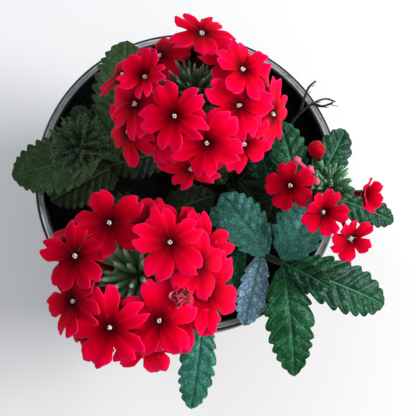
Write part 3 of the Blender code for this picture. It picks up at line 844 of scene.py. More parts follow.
@dataclass
class Floret:
    """One open floret: five petals, their tube and the pale eye."""

    throat: Vector
    axis: Vector
    turn: float
    reach: float
    cup: float
    tone: float
    seed: float
    form: PetalForm = PetalForm()
    petals: int = 5
    sway: float = 5.0
    funnel_radius: float = 1.25
    funnel_depth: float = 2.2
    tube_radius: float = 0.8
    eye_radius: float = 0.56
    eye_hairs: int = 7

    def __post_init__(self) -> None:
        """Work out the floret's own frame."""
        angle = math.radians(self.turn)
        toward = Vector((math.cos(angle), math.sin(angle), 0))
        self.across = self.axis.cross(toward).normalized()
        self.forward = self.across.cross(self.axis)

    def add_petals(self, sheet: Sheet) -> None:
        """Add the five petals to the head's petals."""
        own = Sheet(*sheet.layers)
        cup = math.radians(self.cup)
        for i in range(self.petals):
            angle = math.tau * i / self.petals
            ahead = self.forward * math.cos(angle) + self.across * math.sin(angle)
            beside = self.axis.cross(ahead)
            seed = self.seed + i * 2.3
            reach = self.reach * (1 + 0.05 * math.sin(seed * 2.9))
            lean = cup + math.radians(self.sway) * math.sin(seed * 1.3)

            def shape(along: float, side: float) -> tuple[Vector, dict[str, float]]:
                """Put one point of this petal in place."""
                x, y, z = self.form.spot(along, side, reach, seed)
                out = x * math.cos(lean) - z * math.sin(lean)
                rise = x * math.sin(lean) + z * math.cos(lean)
                spot = self.throat + ahead * out + beside * y + self.axis * rise
                values = {"reach": along, "across": side + seed, "tone": self.tone,
                          "edge": max(along, abs(side) * ease(0.3, 0.6, along))}
                return spot, values

            own.grid(self.form.columns, self.form.rows, shape)
        sheet.add(own)

    def add_tube(self, sheet: Sheet, foot: Vector) -> None:
        """Add the funnel and the tube, down to the calyx's mouth.

        Args:
            sheet: The head's tubes.
            foot: Where the tube ends.
        """
        own = Sheet(*sheet.layers)
        down = (foot - self.throat).normalized()
        length = (foot - self.throat).length
        rings = ((0.0, self.tube_radius), (length - self.funnel_depth, self.tube_radius),
                 (length - self.funnel_depth * 0.4, self.tube_radius * 1.2),
                 (length - 0.75, self.funnel_radius), (length - 0.9, self.tube_radius * 0.9))
        if length <= self.funnel_depth:
            rings = ((0.0, self.tube_radius), (length - 0.75, self.funnel_radius),
                     (length - 0.9, self.tube_radius * 0.9))
        shade = {"reach": 0.28, "across": 0.0, "tone": 0.2, "edge": 0.0}
        own.rings(placed(-down, foot), rings, 10, values=lambda angle, share: shade)
        sheet.add(own)

    def add_eye(self, sheet: Sheet) -> None:
        """Add the pale tuft of hairs that closes the floret's throat."""
        own = Sheet(*sheet.layers)
        draw = random.Random(round(self.seed * 10))
        for i in range(self.eye_hairs):
            angle = math.tau * (i + draw.uniform(-0.3, 0.3)) / self.eye_hairs
            out = self.forward * math.cos(angle) + self.across * math.sin(angle)
            foot = self.throat + out * self.eye_radius - self.axis * 0.7
            way = (self.axis + out * draw.uniform(-0.45, 0.1)).normalized()
            size = draw.uniform(0.22, 0.36)
            rings = ((0.0, size * 0.8), (0.6, size), (draw.uniform(0.9, 1.25), size * 0.55))
            own.rings(placed(way, foot), rings, 5)
        sheet.add(own)


class Blossom:
    """Open florets whose petals, tubes and eyes are gathered as three pieces."""

    def __init__(self) -> None:
        """Start with no floret."""
        self.petals, self.tubes, self.eyes = Sheet(*PETAL_VALUES), Sheet(*PETAL_VALUES), Sheet()

    def open(self, floret: Floret, foot: Vector) -> None:
        """Add a floret whose tube ends at a foot."""
        floret.add_petals(self.petals)
        floret.add_tube(self.tubes, foot)
        floret.add_eye(self.eyes)

    def piece(self, name: str, node: str, palette: Palette, plural: str = "") -> None:
        """Finish the three pieces.

        Args:
            name: What their names start with.
            node: The solid that they stand for.
            palette: The plant's finishes.
            plural: What the names of the tubes and the eyes end with.
        """
        self.petals.piece(f"{name}_petals", palette.petal, "petals", [node], PETAL_THICKNESS,
                          outward=False)
        self.tubes.piece(f"{name}_tube{plural}", palette.petal, "petals", [node])
        self.eyes.piece(f"{name}_eye{plural}", palette.eye, "petals", [node])


@dataclass(frozen=True)
class Calyx:
    """One ribbed green calyx along +Z: pointed, blunt with young teeth, or open."""

    foot: float = 2.8
    length: float = 13.0
    radius: float = 1.1
    root: float = 0.5
    tip: float = 0.25
    sides: int = 10
    teeth: int = 5
    opened: bool = False
    blunt: bool = False

    def template(self) -> bpy.types.Mesh:
        """Make the calyx's small mesh, closed to a point or open at its mouth."""
        sheet = Sheet(*GREEN_VALUES)
        span = self.length - self.foot
        if self.opened:
            shares = ((0.0, self.root), (0.3, self.radius * 0.6), (0.7, self.radius * 0.85),
                      (1.0, self.radius), (1.06, self.radius * 1.02), (0.98, self.radius * 0.75))
        elif self.blunt:
            shares = ((0.0, self.root), (0.25, self.radius * 0.65), (0.5, self.radius * 0.95),
                      (0.72, self.radius), (0.88, self.radius * 0.74), (1.0, self.radius * 0.3),
                      (0.97, self.tip * 0.3))
        else:
            shares = ((0.0, self.root), (0.25, self.radius * 0.7), (0.55, self.radius),
                      (0.78, self.radius * 0.8), (0.92, self.radius * 0.45), (1.0, self.tip))
        rings = [(self.foot + span * share, radius) for share, radius in shares]

        def form(angle: float, share: float) -> float:
            """Raise the ribs."""
            return 1 + 0.2 * math.cos(self.teeth * angle)

        def values(angle: float, share: float) -> dict[str, float]:
            """Paint light on the ribs and shade in the grooves."""
            return {"along": share, "tone": 0.5, "rib": 0.5 + 0.5 * math.cos(self.teeth * angle)}

        sheet.rings(Matrix(), rings, self.sides, form, values)
        return sheet.template("calyx")


@dataclass
class CalyxCluster:
    """Green calyces that stand out from one middle, with their hairs."""

    centre: Vector
    draw: random.Random
    light: float = 1.0

    def __post_init__(self) -> None:
        """Start with nothing set."""
        self.sheet = Sheet(*GREEN_VALUES)
        self.hairs = HairCoat(self.draw)

    def core(self, rings: Sequence[tuple[float, float]], axis: Vector = UP) -> None:
        """Add the little swelling at the middle, with its stalk.

        Args:
            rings: Heights from the middle, and radii.
            axis: The way it stands.
        """
        own = Sheet(*self.sheet.layers)
        shade = {"along": 0.3, "tone": 0.4, "rib": 0.4}
        own.rings(placed(axis, self.centre), rings, 12, values=lambda angle, share: shade)
        self.sheet.add(own)

    def set(self, kind: bpy.types.Mesh, start: Vector, way: Vector, reach: float, radius: float,
            spin: float, hairs: int, base: float = 1.0) -> None:
        """Stand one calyx on the cluster.

        Args:
            kind: The calyx's small mesh.
            start: Where its +Z starts.
            way: Where it points.
            reach: How far its tip stands from the start.
            radius: Its radius.
            spin: Degrees that it turns about itself.
            hairs: How many hairs it bears.
            base: The template's own length.
        """
        size = Matrix.Diagonal((1, 1, reach / base, 1))
        tone = (0.15 + 0.65 * self.draw.random()) * self.light
        self.sheet.stamp(kind, placed(way, start, spin) @ size, tone=tone)
        if hairs:
            self.hairs.along(start + way * reach * 0.4, start + way * reach * 0.97, radius, hairs)

    def piece(self, name: str, palette: Palette, nodes: Sequence[str],
              finish: bpy.types.Material) -> None:
        """Finish the calyces and their hairs as two pieces."""
        self.sheet.piece(name, finish, "calyces", nodes)
        self.hairs.piece(name + "_hairs", palette, "calyces", nodes)


@dataclass(frozen=True)
class Place:
    """Where one floret stands on a full head, and how it faces."""

    azimuth: float
    lean: float
    turn: float
    reach: float
    cup: float
    layer: int
    twist: float = 10.0
    face: float = 0.7


@dataclass
class FullHead:
    """A full domed flower head with its tuft of young calyces."""

    key: str
    centre: Vector
    distance: float
    tip: Vector
    young: int
    places: Sequence[Place]
    bud_ways: Sequence[Vector] = ()
    painted_light_base: float = 0.26
    contrast: float = 0.62
    layer_step: float = 2.0
    calyx_length: float = 13.0
    calyx_radius: float = 1.5
    core_radius: float = 4.0
    stalk: float = 9.5
    tuft_reach: float = 16.0
    tuft_radius: float = 0.85
    tuft_density: float = 2.0
    tuft_light: float = 1.0
    tuft_step: float = 0.04
    tuft_spread: float = 80.0
    tuft_hollow: float = 4.0
    tuft_clearance: float = 7.0
    hairs: int = 8
    tuft_hairs: int = 9
    sun_way: Vector = Vector((0.6, -0.65, 0.45))

    def tone(self, throat: Vector) -> float:
        """Say how bright a floret is painted: painted light on those that face the light, painted shade on
        the others.
        """
        share = (throat - self.centre).normalized().dot(self.sun_way.normalized())
        return min(1.0, max(0.0, self.painted_light_base + self.contrast * share))

    def florets(self) -> list[Floret]:
        """Work out every floret from its place on the dome."""
        made = []
        for i, place in enumerate(self.places):
            way = direction(place.azimuth, place.lean)
            axis = direction(place.azimuth, place.lean * place.face)
            side = direction(place.azimuth, 90)
            axis.rotate(Matrix.Rotation(math.radians(place.twist), 3, side))
            throat = self.centre + way * (self.distance + place.layer * self.layer_step)
            made.append(Floret(throat, axis, place.turn, place.reach, place.cup, self.tone(throat),
                               i * 1.9 + len(self.places)))
        return made

    def build(self, palette: Palette) -> None:
        """Build and dress the whole head."""
        node = f"head_{self.key}_florets"
        blossom = Blossom()
        green = CalyxCluster(self.centre, random.Random(len(self.places)))
        core = self.core_radius
        green.core(((-self.stalk, 1.5), (-core - 1, 1.6), (-core * 0.6, core * 0.8),
                    (0.0, core), (core * 0.6, core * 0.9), (core, 1.6)))
        kind = Calyx(length=self.calyx_length, radius=self.calyx_radius, opened=True).template()
        ways = list(self.bud_ways)
        for floret in self.florets():
            way = (floret.throat - self.centre).normalized()
            ways.append(way)
            blossom.open(floret, self.centre + way * (self.calyx_length - 1.0))
        for i, way in enumerate(ways):
            green.set(kind, self.centre, way, self.calyx_length, self.calyx_radius, i * 20, self.hairs,
                      self.calyx_length)
        blossom.piece(f"head_{self.key}", node, palette, "s")
        green.piece(f"head_{self.key}_calyces", palette, [node], palette.tuft_down)
        self.build_tuft(palette, ways)

    def build_tuft(self, palette: Palette, ways: Sequence[Vector]) -> None:
        """Build the young calyces at the top, clear of the florets' tubes.

        Args:
            palette: The plant's finishes.
            ways: The directions that tubes already take.
        """
        tuft = CalyxCluster(self.centre, random.Random(self.young), self.tuft_light)
        tuft.core(((self.core_radius + 0.3, 1.5), (self.core_radius + 2.3, 1.9),
                   (self.core_radius + 4.3, 1.2)))
        start = self.centre + UP * (self.core_radius + 1.9)
        kind = Calyx(foot=0.4, length=self.tuft_reach, radius=self.tuft_radius, tip=0.3,
                     blunt=True).template()
        ways_out = spiral(round(self.young * self.tuft_density), self.tuft_spread, self.tip,
                          self.tuft_hollow)
        for i, way in enumerate(ways_out):
            reach = self.tuft_reach * tuft.draw.uniform(0.72, 1.0) - i * self.tuft_step
            lean = min((start + way * reach - self.centre).angle(other) for other in ways)
            if lean < math.radians(self.tuft_clearance):
                continue
            tuft.set(kind, start, way, reach, self.tuft_radius * 1.1, i * 20, self.tuft_hairs,
                     self.tuft_reach)
        tuft.piece(f"head_{self.key}_tuft", palette, [f"head_{self.key}_young_calyces"],
                   palette.tuft_down)


@dataclass
class SpikyHead:
    """A ball of narrow green calyces, such as an unopened head."""

    key: str
    centre: Vector
    axis: Vector
    count: int
    reach: float
    spread: float
    open_ways: Sequence[Vector] = ()
    core_radius: float = 4.0
    density: float = 1.9
    hairs: int = 16
    shaded: bool = False
    scatter: float = 0.14
    wide_radius: float = 1.15
    slim_radius: float = 0.8
    clearance: float = 8.0

    def build(self, palette: Palette) -> None:
        """Build the ball, with a wider calyx under each flower."""
        draw = random.Random(self.count)
        ball = CalyxCluster(self.centre, draw)
        core = self.core_radius
        ball.core(((-core - 1, 1.5), (-core * 0.6, core * 0.8), (0.0, core), (core * 0.6, core * 0.9),
                   (core, 1.5)))
        wide = Calyx(length=self.reach, radius=self.wide_radius, opened=True).template()
        slim = Calyx(length=self.reach, radius=self.slim_radius, tip=0.2).template()
        for i, way in enumerate(self.open_ways):
            ball.set(wide, self.centre, way, self.reach, self.wide_radius, i * 20, 8,
                     self.reach)
        for i, way in enumerate(spiral(round(self.count * self.density), self.spread, self.axis)):
            reach = self.reach * draw.uniform(0.75, 1.0)
            near = [way.angle(other) for other in self.open_ways]
            if near and min(near) < math.radians(self.clearance):
                continue
            bend = direction(draw.uniform(0, 360), 90) * draw.uniform(0, self.scatter)
            ball.set(slim, self.centre, (way + bend).normalized(), reach, 0.85, i * 30, self.hairs,
                     self.reach)
        finish = palette.shaded_down if self.shaded else palette.down
        ball.piece(f"head_{self.key}_spikes", palette, [f"head_{self.key}_calyces"], finish)


@dataclass
class ClosedBud:
    """A round bud of furled petals on its slender tube."""

    name: str
    start: Vector
    middle: Vector
    radius: float
    tone: float
    opening: bool = False
    tube_radius: float = 0.75
    steps: int = 14
    swirl: float = 1.6
    overlap: float = 0.3

    def build(self, palette: Palette) -> None:
        """Build and dress the bud."""
        sheet = Sheet(*PETAL_VALUES)
        way = (self.middle - self.start).normalized()
        length = (self.middle - self.start).length
        rings = [(0.0, self.tube_radius * 0.9), (max(0.2, length - self.radius * 1.1), self.tube_radius)]
        for i in range(1, self.steps):
            angle = math.pi * (0.08 + 0.9 * i / self.steps)
            height = length - self.radius * math.cos(angle)
            rings.append((height, max(self.tube_radius, self.radius * math.sin(angle))))
        rings.append((length + self.radius * 0.85, 0.15))

        def wrap(angle: float, share: float) -> float:
            """Give the share of the way across one wrapped petal."""
            return (5 * angle / math.tau + self.swirl * share) % 1.0

        def form(angle: float, share: float) -> float:
            """Wrap each petal's edge over the next."""
            return 1 - self.overlap * wrap(angle, share) ** 2 * ease(0.35, 0.75, share)

        def values(angle: float, share: float) -> dict[str, float]:
            """Shade the bud from its tube to its top, with a pale rim on each wrapped petal."""
            rim = ease(0.2, 0.0, wrap(angle, share)) * ease(0.35, 0.75, share)
            return {"reach": 0.25 + 0.45 * share, "across": share, "tone": self.tone,
                    "edge": 0.9 + 0.15 * rim}

        sheet.rings(placed(way, self.start), rings, 50, form, values)
        if self.opening:
            self.add_lobes(sheet, way)
        finish = palette.pink_bud if self.tone > 0.5 else palette.bud
        sheet.piece(self.name + "_furled", finish, "buds", [self.name])

    def add_lobes(self, sheet: Sheet, way: Vector) -> None:
        """Add the crumpled petals that begin to unfold round the bud."""
        lobes = PetalForm(columns=6, rows=10, blade=0.62, droop=-0.35, ruffle=0.14, notch=0.1, fray=0.12)
        foot = self.middle + way * self.radius * 0.5
        up = (way + UP * 2).normalized()
        for i, (reach, cup) in enumerate(((1.9, 42), (1.75, 58), (1.4, 74))):
            Floret(foot, up, 36.0 * i, self.radius * reach, cup, self.tone, 2.1 + i, lobes).add_petals(
                sheet)


@dataclass
class YoungHead:
    """The head on the right: four open florets, closed buds and green spikes."""

    centre: Vector
    axis: Vector
    florets: Sequence[tuple]
    buds: Sequence[tuple[str, Point, float, float]]
    form: PetalForm = PetalForm(blade=0.43, notch=0.12, shoulder=0.28, fray=0.05)
    calyces: int = 24
    reach: float = 11.0
    spread: float = 75.0
    gap: float = 0.3

    def build(self, palette: Palette) -> None:
        """Build each floret, each bud and the ball of calyces."""
        ways = []
        for i, (throat, lean, turn, reach, cup, tone) in enumerate(self.florets):
            name = f"head_c_floret_{i + 1}"
            floret = Floret(Vector(throat), direction(*lean), turn, reach, cup, tone, i * 3.7, self.form)
            way = (floret.throat - self.centre).normalized()
            ways.append(way)
            blossom = Blossom()
            blossom.open(floret, self.centre + way * (self.reach + self.gap))
            blossom.piece(name, name, palette)
        for name, middle, radius, tone in self.buds:
            way = (Vector(middle) - self.centre).normalized()
            ways.append(way)
            ClosedBud(name, self.centre + way * (self.reach + self.gap), Vector(middle), radius,
                      tone).build(palette)
        SpikyHead("c", self.centre, self.axis, self.calyces, self.reach, self.spread,
                  ways).build(palette)


@dataclass(frozen=True)
class Blade:
    """One leaf: where it starts and ends, and how it is shaped."""

    base: Point
    tip: Point
    width: float
    arch: float
    roll: float
    tone: Tone
    teeth: int = 7
    blunt: float = 0.55


@dataclass(frozen=True)
class LeafForm:
    """The outline and quilting that all the leaves share."""

    across: int = 30
    per_tooth: int = 9
    root_power: float = 0.62
    fold: float = 0.16
    tooth_depth: float = 0.22
    tooth_lean: float = 1.5
    tooth_reach: float = 0.35
    unevenness: float = 0.5
    vein_slope: float = 0.8
    quilt: float = 0.55
    blister: float = 0.26
    blister_size: float = 3.2
    crease: float = 0.4
    crease_width: float = 0.6
    petiole_half: float = 0.8
    ripple: float = 0.7

    def half_width(self, share: float, blade: Blade) -> float:
        """Give the blade's half width at a share of its length."""
        peak = self.root_power / (self.root_power + blade.blunt)
        most = peak ** self.root_power * (1 - peak) ** blade.blunt
        shape = share ** self.root_power * (1 - share) ** blade.blunt / most
        return max(self.petiole_half * ease(1.0, 0.97, share), blade.width / 2 * shape)

    def build(self, sheet: Sheet, blade: Blade) -> None:
        """Add one toothed, quilted leaf.

        Args:
            sheet: The shoot's leaves.
            blade: The leaf's place and shape.
        """
        start, end = Vector(blade.base), Vector(blade.tip)
        length = (end - start).length
        along_way = (end - start).normalized()
        side_way = UP.cross(along_way).normalized()
        side_way.rotate(Matrix.Rotation(math.radians(blade.roll), 3, along_way))
        normal = along_way.cross(side_way).normalized()
        seed = start.x + end.y

        def shape(along: float, across: float) -> tuple[Vector, dict[str, float]]:
            """Put one point of this leaf in place."""
            side = abs(across)
            widest = self.half_width(along, blade)
            sway = self.unevenness * noise.noise(Vector((along * 4, seed + (across > 0), 0)))
            rim_phase = blade.teeth * (along - self.vein_slope * widest / length) + sway
            forward = (rim_phase % 1.0) ** self.tooth_lean
            tooth = math.sin(math.pi * forward) ** 0.6
            near_rim = ease(0.5, 1.0, side)
            offset = across * widest * (1 - near_rim * self.tooth_depth * (1 - tooth))
            phase = blade.teeth * (along - self.vein_slope * abs(offset) / length) + sway + 0.4
            reach = along + self.tooth_reach / blade.teeth * near_rim * (1 - along) * tooth
            rise = blade.arch * 4 * along * (1 - along)
            rise -= self.fold * abs(offset) * (1 - along)
            inside = ease(0.0, 0.15, along) * (1 - 0.6 * ease(0.85, 1.0, side)) * ease(0.0, 0.15, side)
            flat = Vector((along * length, offset, seed)) / self.blister_size
            near, next_near = noise.voronoi(flat)[0][:2]
            swell = ease(0.0, 0.45, next_near - near) * (0.35 + 0.65 * abs(math.sin(math.pi * phase)) ** 0.6)
            rise += (self.quilt * abs(math.sin(math.pi * phase)) ** 0.8 + self.blister * swell) * inside
            rise -= self.crease * math.exp(-(offset / self.crease_width) ** 2) * ease(0.0, 0.1, along)
            spot = Vector((along * 5 + seed, across * 1.8, seed))
            rise += self.ripple * noise.noise(spot) * ease(0.1, 1.0, side)
            place = start + (end - start) * min(reach, 1.0) + side_way * offset + normal * rise
            values = {"vein": phase, "offset": offset, "swell": swell, "tone": blade.tone.value}
            return place, values

        sheet.grid(blade.teeth * self.per_tooth, self.across, shape)


@dataclass
class Shoot:
    """One leafy stem that stands in the potting mix."""

    key: str
    route: Sequence[Point]
    blades: Sequence[Blade]
    radius: float = 1.5
    tip_share: float = 0.8
    step: float = 2.5
    thickness: float = 0.4
    lit_form: LeafForm = LeafForm()
    shaded_form: LeafForm = LeafForm(quilt=0.45, blister=0.22, crease=0.3)

    def build(self, palette: Palette) -> None:
        """Build and dress the stem, its hairs and its leaves."""
        node = f"shoot_{self.key}"
        stem = Sheet(*GREEN_VALUES)
        route = smooth_route(self.route, self.step)
        last = len(route) - 1
        radii = [self.radius * (1 + (self.tip_share - 1) * i / last) for i in range(last + 1)]
        stem.sweep(route, radii, 12, 0.1, {"along": 0.35, "tone": 0.35, "rib": 0.4})
        hairs = HairCoat(random.Random(len(route)), 0.8, 0.05)
        for first, second in zip(route[2:-1:2], route[4::2]):
            hairs.along(first, second, self.radius, 9, 0.1)
        stem.piece(f"{node}_stem", palette.shaded_down, "foliage", [node])
        hairs.piece(f"{node}_hairs", palette, "foliage", [node])
        kinds = (("shaded", palette.shaded_leaf, self.shaded_form), ("lit", palette.leaf, self.lit_form))
        for name, finish, form in kinds:
            blades = [blade for blade in self.blades if blade.tone.shaded == (name == "shaded")]
            if not blades:
                continue
            leaves = Sheet(*LEAF_VALUES)
            for blade in blades:
                own = Sheet(*leaves.layers)
                form.build(own, blade)
                leaves.add(own)
            leaves.piece(f"{node}_{name}_leaves", finish, "foliage", [node], self.thickness,
                         outward=False)


@dataclass
class NurseryPot:
    """The tapered pot with its lip, rolled rim and drain holes."""

    height: float = 95.0
    rim_radius: float = 60.0
    rim_width: float = 4.0
    lip_depth: float = 13.0
    lip_step: float = 1.6
    lip_slope: float = 3.0
    base_radius: float = 43.0
    wall: float = 1.5
    floor: float = 2.0
    foot_height: float = 1.5
    foot_width: float = 5.0
    bead: float = 0.5
    edge: float = 0.8
    sides: int = 144
    drain_holes: int = 8
    drain_radius: float = 4.0
    drain_ring: float = 34.0
    drain_room: float = 8.0

    def wall_radius(self, height: float) -> float:
        """Give the outer wall's radius below the lip at a height."""
        top = self.rim_radius - self.lip_step
        return self.base_radius + (top - self.base_radius) * height / (self.height - self.lip_depth)

    def inner_radius(self, height: float) -> float:
        """Give the radius inside the wall at a height."""
        return self.wall_radius(height) - self.wall

    def profile(self) -> list[tuple[float, float]]:
        """List the wall's section, from the middle inside to the middle below."""
        shoulder = self.height - self.lip_depth
        inner_top = self.rim_radius - self.rim_width
        inside_floor = self.floor + self.foot_height
        edge = self.edge
        points = [(0.0, inside_floor), (self.inner_radius(inside_floor) - 2, inside_floor),
                  (self.inner_radius(inside_floor + 2), inside_floor + 2),
                  (self.inner_radius(shoulder), shoulder), (inner_top, shoulder + self.lip_slope)]
        points += [(inner_top, self.height - edge), (inner_top + edge * 0.3, self.height - edge * 0.3),
                   (inner_top + edge, self.height), (inner_top + edge * 1.5, self.height)]
        middle = self.rim_radius - self.rim_width / 2
        points += [(middle - 0.6, self.height - self.bead), (middle + 0.4, self.height - self.bead)]
        points += [(self.rim_radius - edge * 1.5, self.height), (self.rim_radius - edge, self.height),
                   (self.rim_radius - edge * 0.3, self.height - edge * 0.3),
                   (self.rim_radius, self.height - edge)]
        points += [(self.rim_radius, shoulder + 0.6), (self.rim_radius - 0.5, shoulder),
                   (self.wall_radius(shoulder), shoulder), (self.base_radius + 0.3, 1.0),
                   (self.base_radius - 0.6, 0.0), (self.base_radius - self.foot_width, 0.0),
                   (self.base_radius - self.foot_width - 1, self.foot_height),
                   (self.drain_ring - self.drain_room, self.foot_height),
                   (self.drain_ring - self.drain_room - 1, 0.0), (0.0, 0.0)]
        return points

    def cutters(self) -> bpy.types.Object:
        """Make the tools that cut the drain holes, as one object."""
        sheet = Sheet()
        for i in range(self.drain_holes):
            angle = math.tau * (i + 0.5) / self.drain_holes
            place = Vector((math.cos(angle), math.sin(angle), 0)) * self.drain_ring * MM
            bmesh.ops.create_cone(
                sheet.bm, cap_ends=True, segments=24, radius1=self.drain_radius * MM,
                radius2=self.drain_radius * MM, depth=0.02, matrix=Matrix.Translation(place))
        return show("drain_cutters", sheet.mesh("drain_cutters"))

    def build(self, palette: Palette) -> None:
        """Turn the wall's section, cut the drain holes and dress the pot."""
        sheet = Sheet()
        verts = [sheet.bm.verts.new((radius, 0, height)) for radius, height in self.profile()]
        edges = [sheet.bm.edges.new(pair) for pair in zip(verts, verts[1:])]
        bmesh.ops.spin(sheet.bm, geom=verts + edges, cent=(0, 0, 0), axis=(0, 0, 1), angle=math.tau,
                       steps=self.sides, use_merge=True)
        bmesh.ops.remove_doubles(sheet.bm, verts=sheet.bm.verts, dist=0.001)
        pot = sheet.piece("nursery_pot", palette.plastic, "pot", ["pot"])
        tools = self.cutters()
        cut = pot.modifiers.new("drain_holes", "BOOLEAN")
        cut.operation = "DIFFERENCE"
        cut.object = tools
        graph = bpy.context.evaluated_depsgraph_get()
        holed = bpy.data.meshes.new_from_object(pot.evaluated_get(graph))
        pot.modifiers.clear()
        pot.data = holed
        holed.set_sharp_from_angle(angle=math.radians(40))
        bpy.data.objects.remove(tools, do_unlink=True)


@dataclass
class PottingMix:
    """The peat that fills the pot, with loose crumbs on top."""

    pot: NurseryPot
    top: float = 80.0
    relief: tuple = ((11.0, 0, 1.6), (3.4, 7, 0.9), (1.3, 3, 0.45))
    room: float = 0.5
    low: float = 3.8
    crumbs: int = 520
    crumb_kinds: int = 5
    crumb_least: float = 0.45
    crumb_spread: float = 1.5
    columns: int = 96

    def level(self, x: float, y: float) -> float:
        """Give the height of the crumbly top at a spot."""
        height = self.top
        for size, seed, rise in self.relief:
            height += noise.noise(Vector((x, y, seed)) / size) * rise
        return height

    def crumb(self, seed: int) -> bpy.types.Mesh:
        """Make one rough crumb about a millimetre in radius."""
        sheet = Sheet()
        bmesh.ops.create_icosphere(sheet.bm, subdivisions=2, radius=1.0)
        for vertex in sheet.bm.verts:
            vertex.co *= 1 + 0.55 * noise.noise(vertex.co * 1.4 + Vector((seed * 5, 0, 0)))
        return sheet.template(f"crumb_{seed}")

    def build(self, palette: Palette) -> None:
        """Build and dress the mix and its crumbs."""
        radius = self.pot.inner_radius(self.top) - self.room
        low_radius = self.pot.inner_radius(self.low) - self.room
        bed = Sheet()
        made = bmesh.ops.create_grid(bed.bm, x_segments=self.columns, y_segments=self.columns, size=1.0)
        for vertex in made["verts"]:
            x, y = vertex.co.x, vertex.co.y
            flat = Vector((x * math.sqrt(1 - y * y / 2), y * math.sqrt(1 - x * x / 2), 0)) * radius
            fade = 1 - ease(0.97, 1.0, flat.length / radius)
            vertex.co = (flat.x, flat.y, self.top + (self.level(flat.x, flat.y) - self.top) * fade)
        rim = [edge for edge in bed.bm.edges if edge.is_boundary]
        swept = bmesh.ops.extrude_edge_only(bed.bm, edges=rim)["geom"]
        lower = [item for item in swept if isinstance(item, bmesh.types.BMVert)]
        for vertex in lower:
            flat = Vector((vertex.co.x, vertex.co.y, 0)).normalized() * low_radius
            vertex.co = (flat.x, flat.y, self.low)
        rim = [item for item in swept if isinstance(item, bmesh.types.BMEdge) and item.is_boundary]
        bmesh.ops.holes_fill(bed.bm, edges=rim, sides=0)
        bed.piece("peat_bed", palette.peat, "potting_mix", ["potting_mix"])
        draw = random.Random(5)
        kinds = [self.crumb(seed) for seed in range(self.crumb_kinds)]
        loose = Sheet()
        for _ in range(self.crumbs):
            angle, share = draw.uniform(0, math.tau), math.sqrt(draw.random())
            size = self.crumb_least + self.crumb_spread * draw.random() ** 3
            reach = (radius - size * 1.6) * share
            x, y = reach * math.cos(angle), reach * math.sin(angle)
            place = Vector((x, y, self.level(x, y) + size * 0.2))
            turn = Matrix.Rotation(draw.uniform(0, math.tau), 4, direction(angle * 57, 50))
            shape = Matrix.Diagonal((size, size * draw.uniform(0.6, 1.0), size * 0.7, 1))
            loose.stamp(draw.choice(kinds), Matrix.Translation(place) @ turn @ shape)
        loose.piece("peat_crumbs", palette.peat, "potting_mix", ["potting_mix"])


@dataclass
class DryRoots:
    """The tuft of dry roots that hangs over the rim."""

    routes: Sequence[Sequence[Point]]
    radius: float = 0.7
    fibres: int = 7
    fibre_radius: float = 0.22

    def build(self, palette: Palette) -> None:
        """Build and dress the roots and the finer fibres on them."""
        sheet = Sheet()
        draw = random.Random(11)
        lines = [smooth_route(points, 1.5) for points in self.routes]
        for line in lines:
            radii = [self.radius * (1 - 0.45 * i / len(line)) * draw.uniform(0.8, 1.1)
                     for i in range(len(line))]
            own = Sheet()
            own.sweep(line, radii, 7)
            sheet.add(own)
        for _ in range(self.fibres):
            line = draw.choice(lines)
            start = line[draw.randrange(len(line) // 2, len(line) - 1)]
            way = direction(draw.uniform(-60, 120), draw.uniform(50, 85))
            bend = direction(draw.uniform(0, 360), 80)
            reach = draw.uniform(1.5, 3.2)
            points = [start, start + way * reach * 0.5, start + way * reach + bend * reach * 0.35]
            route = smooth_route([tuple(point) for point in points], 0.8)
            own = Sheet()
            own.sweep(route, [self.fibre_radius * (1 - 0.6 * i / len(route)) for i in range(len(route))], 5)
            sheet.add(own)
        sheet.piece("dry_root_tuft", palette.root, "roots", ["dry_roots"])


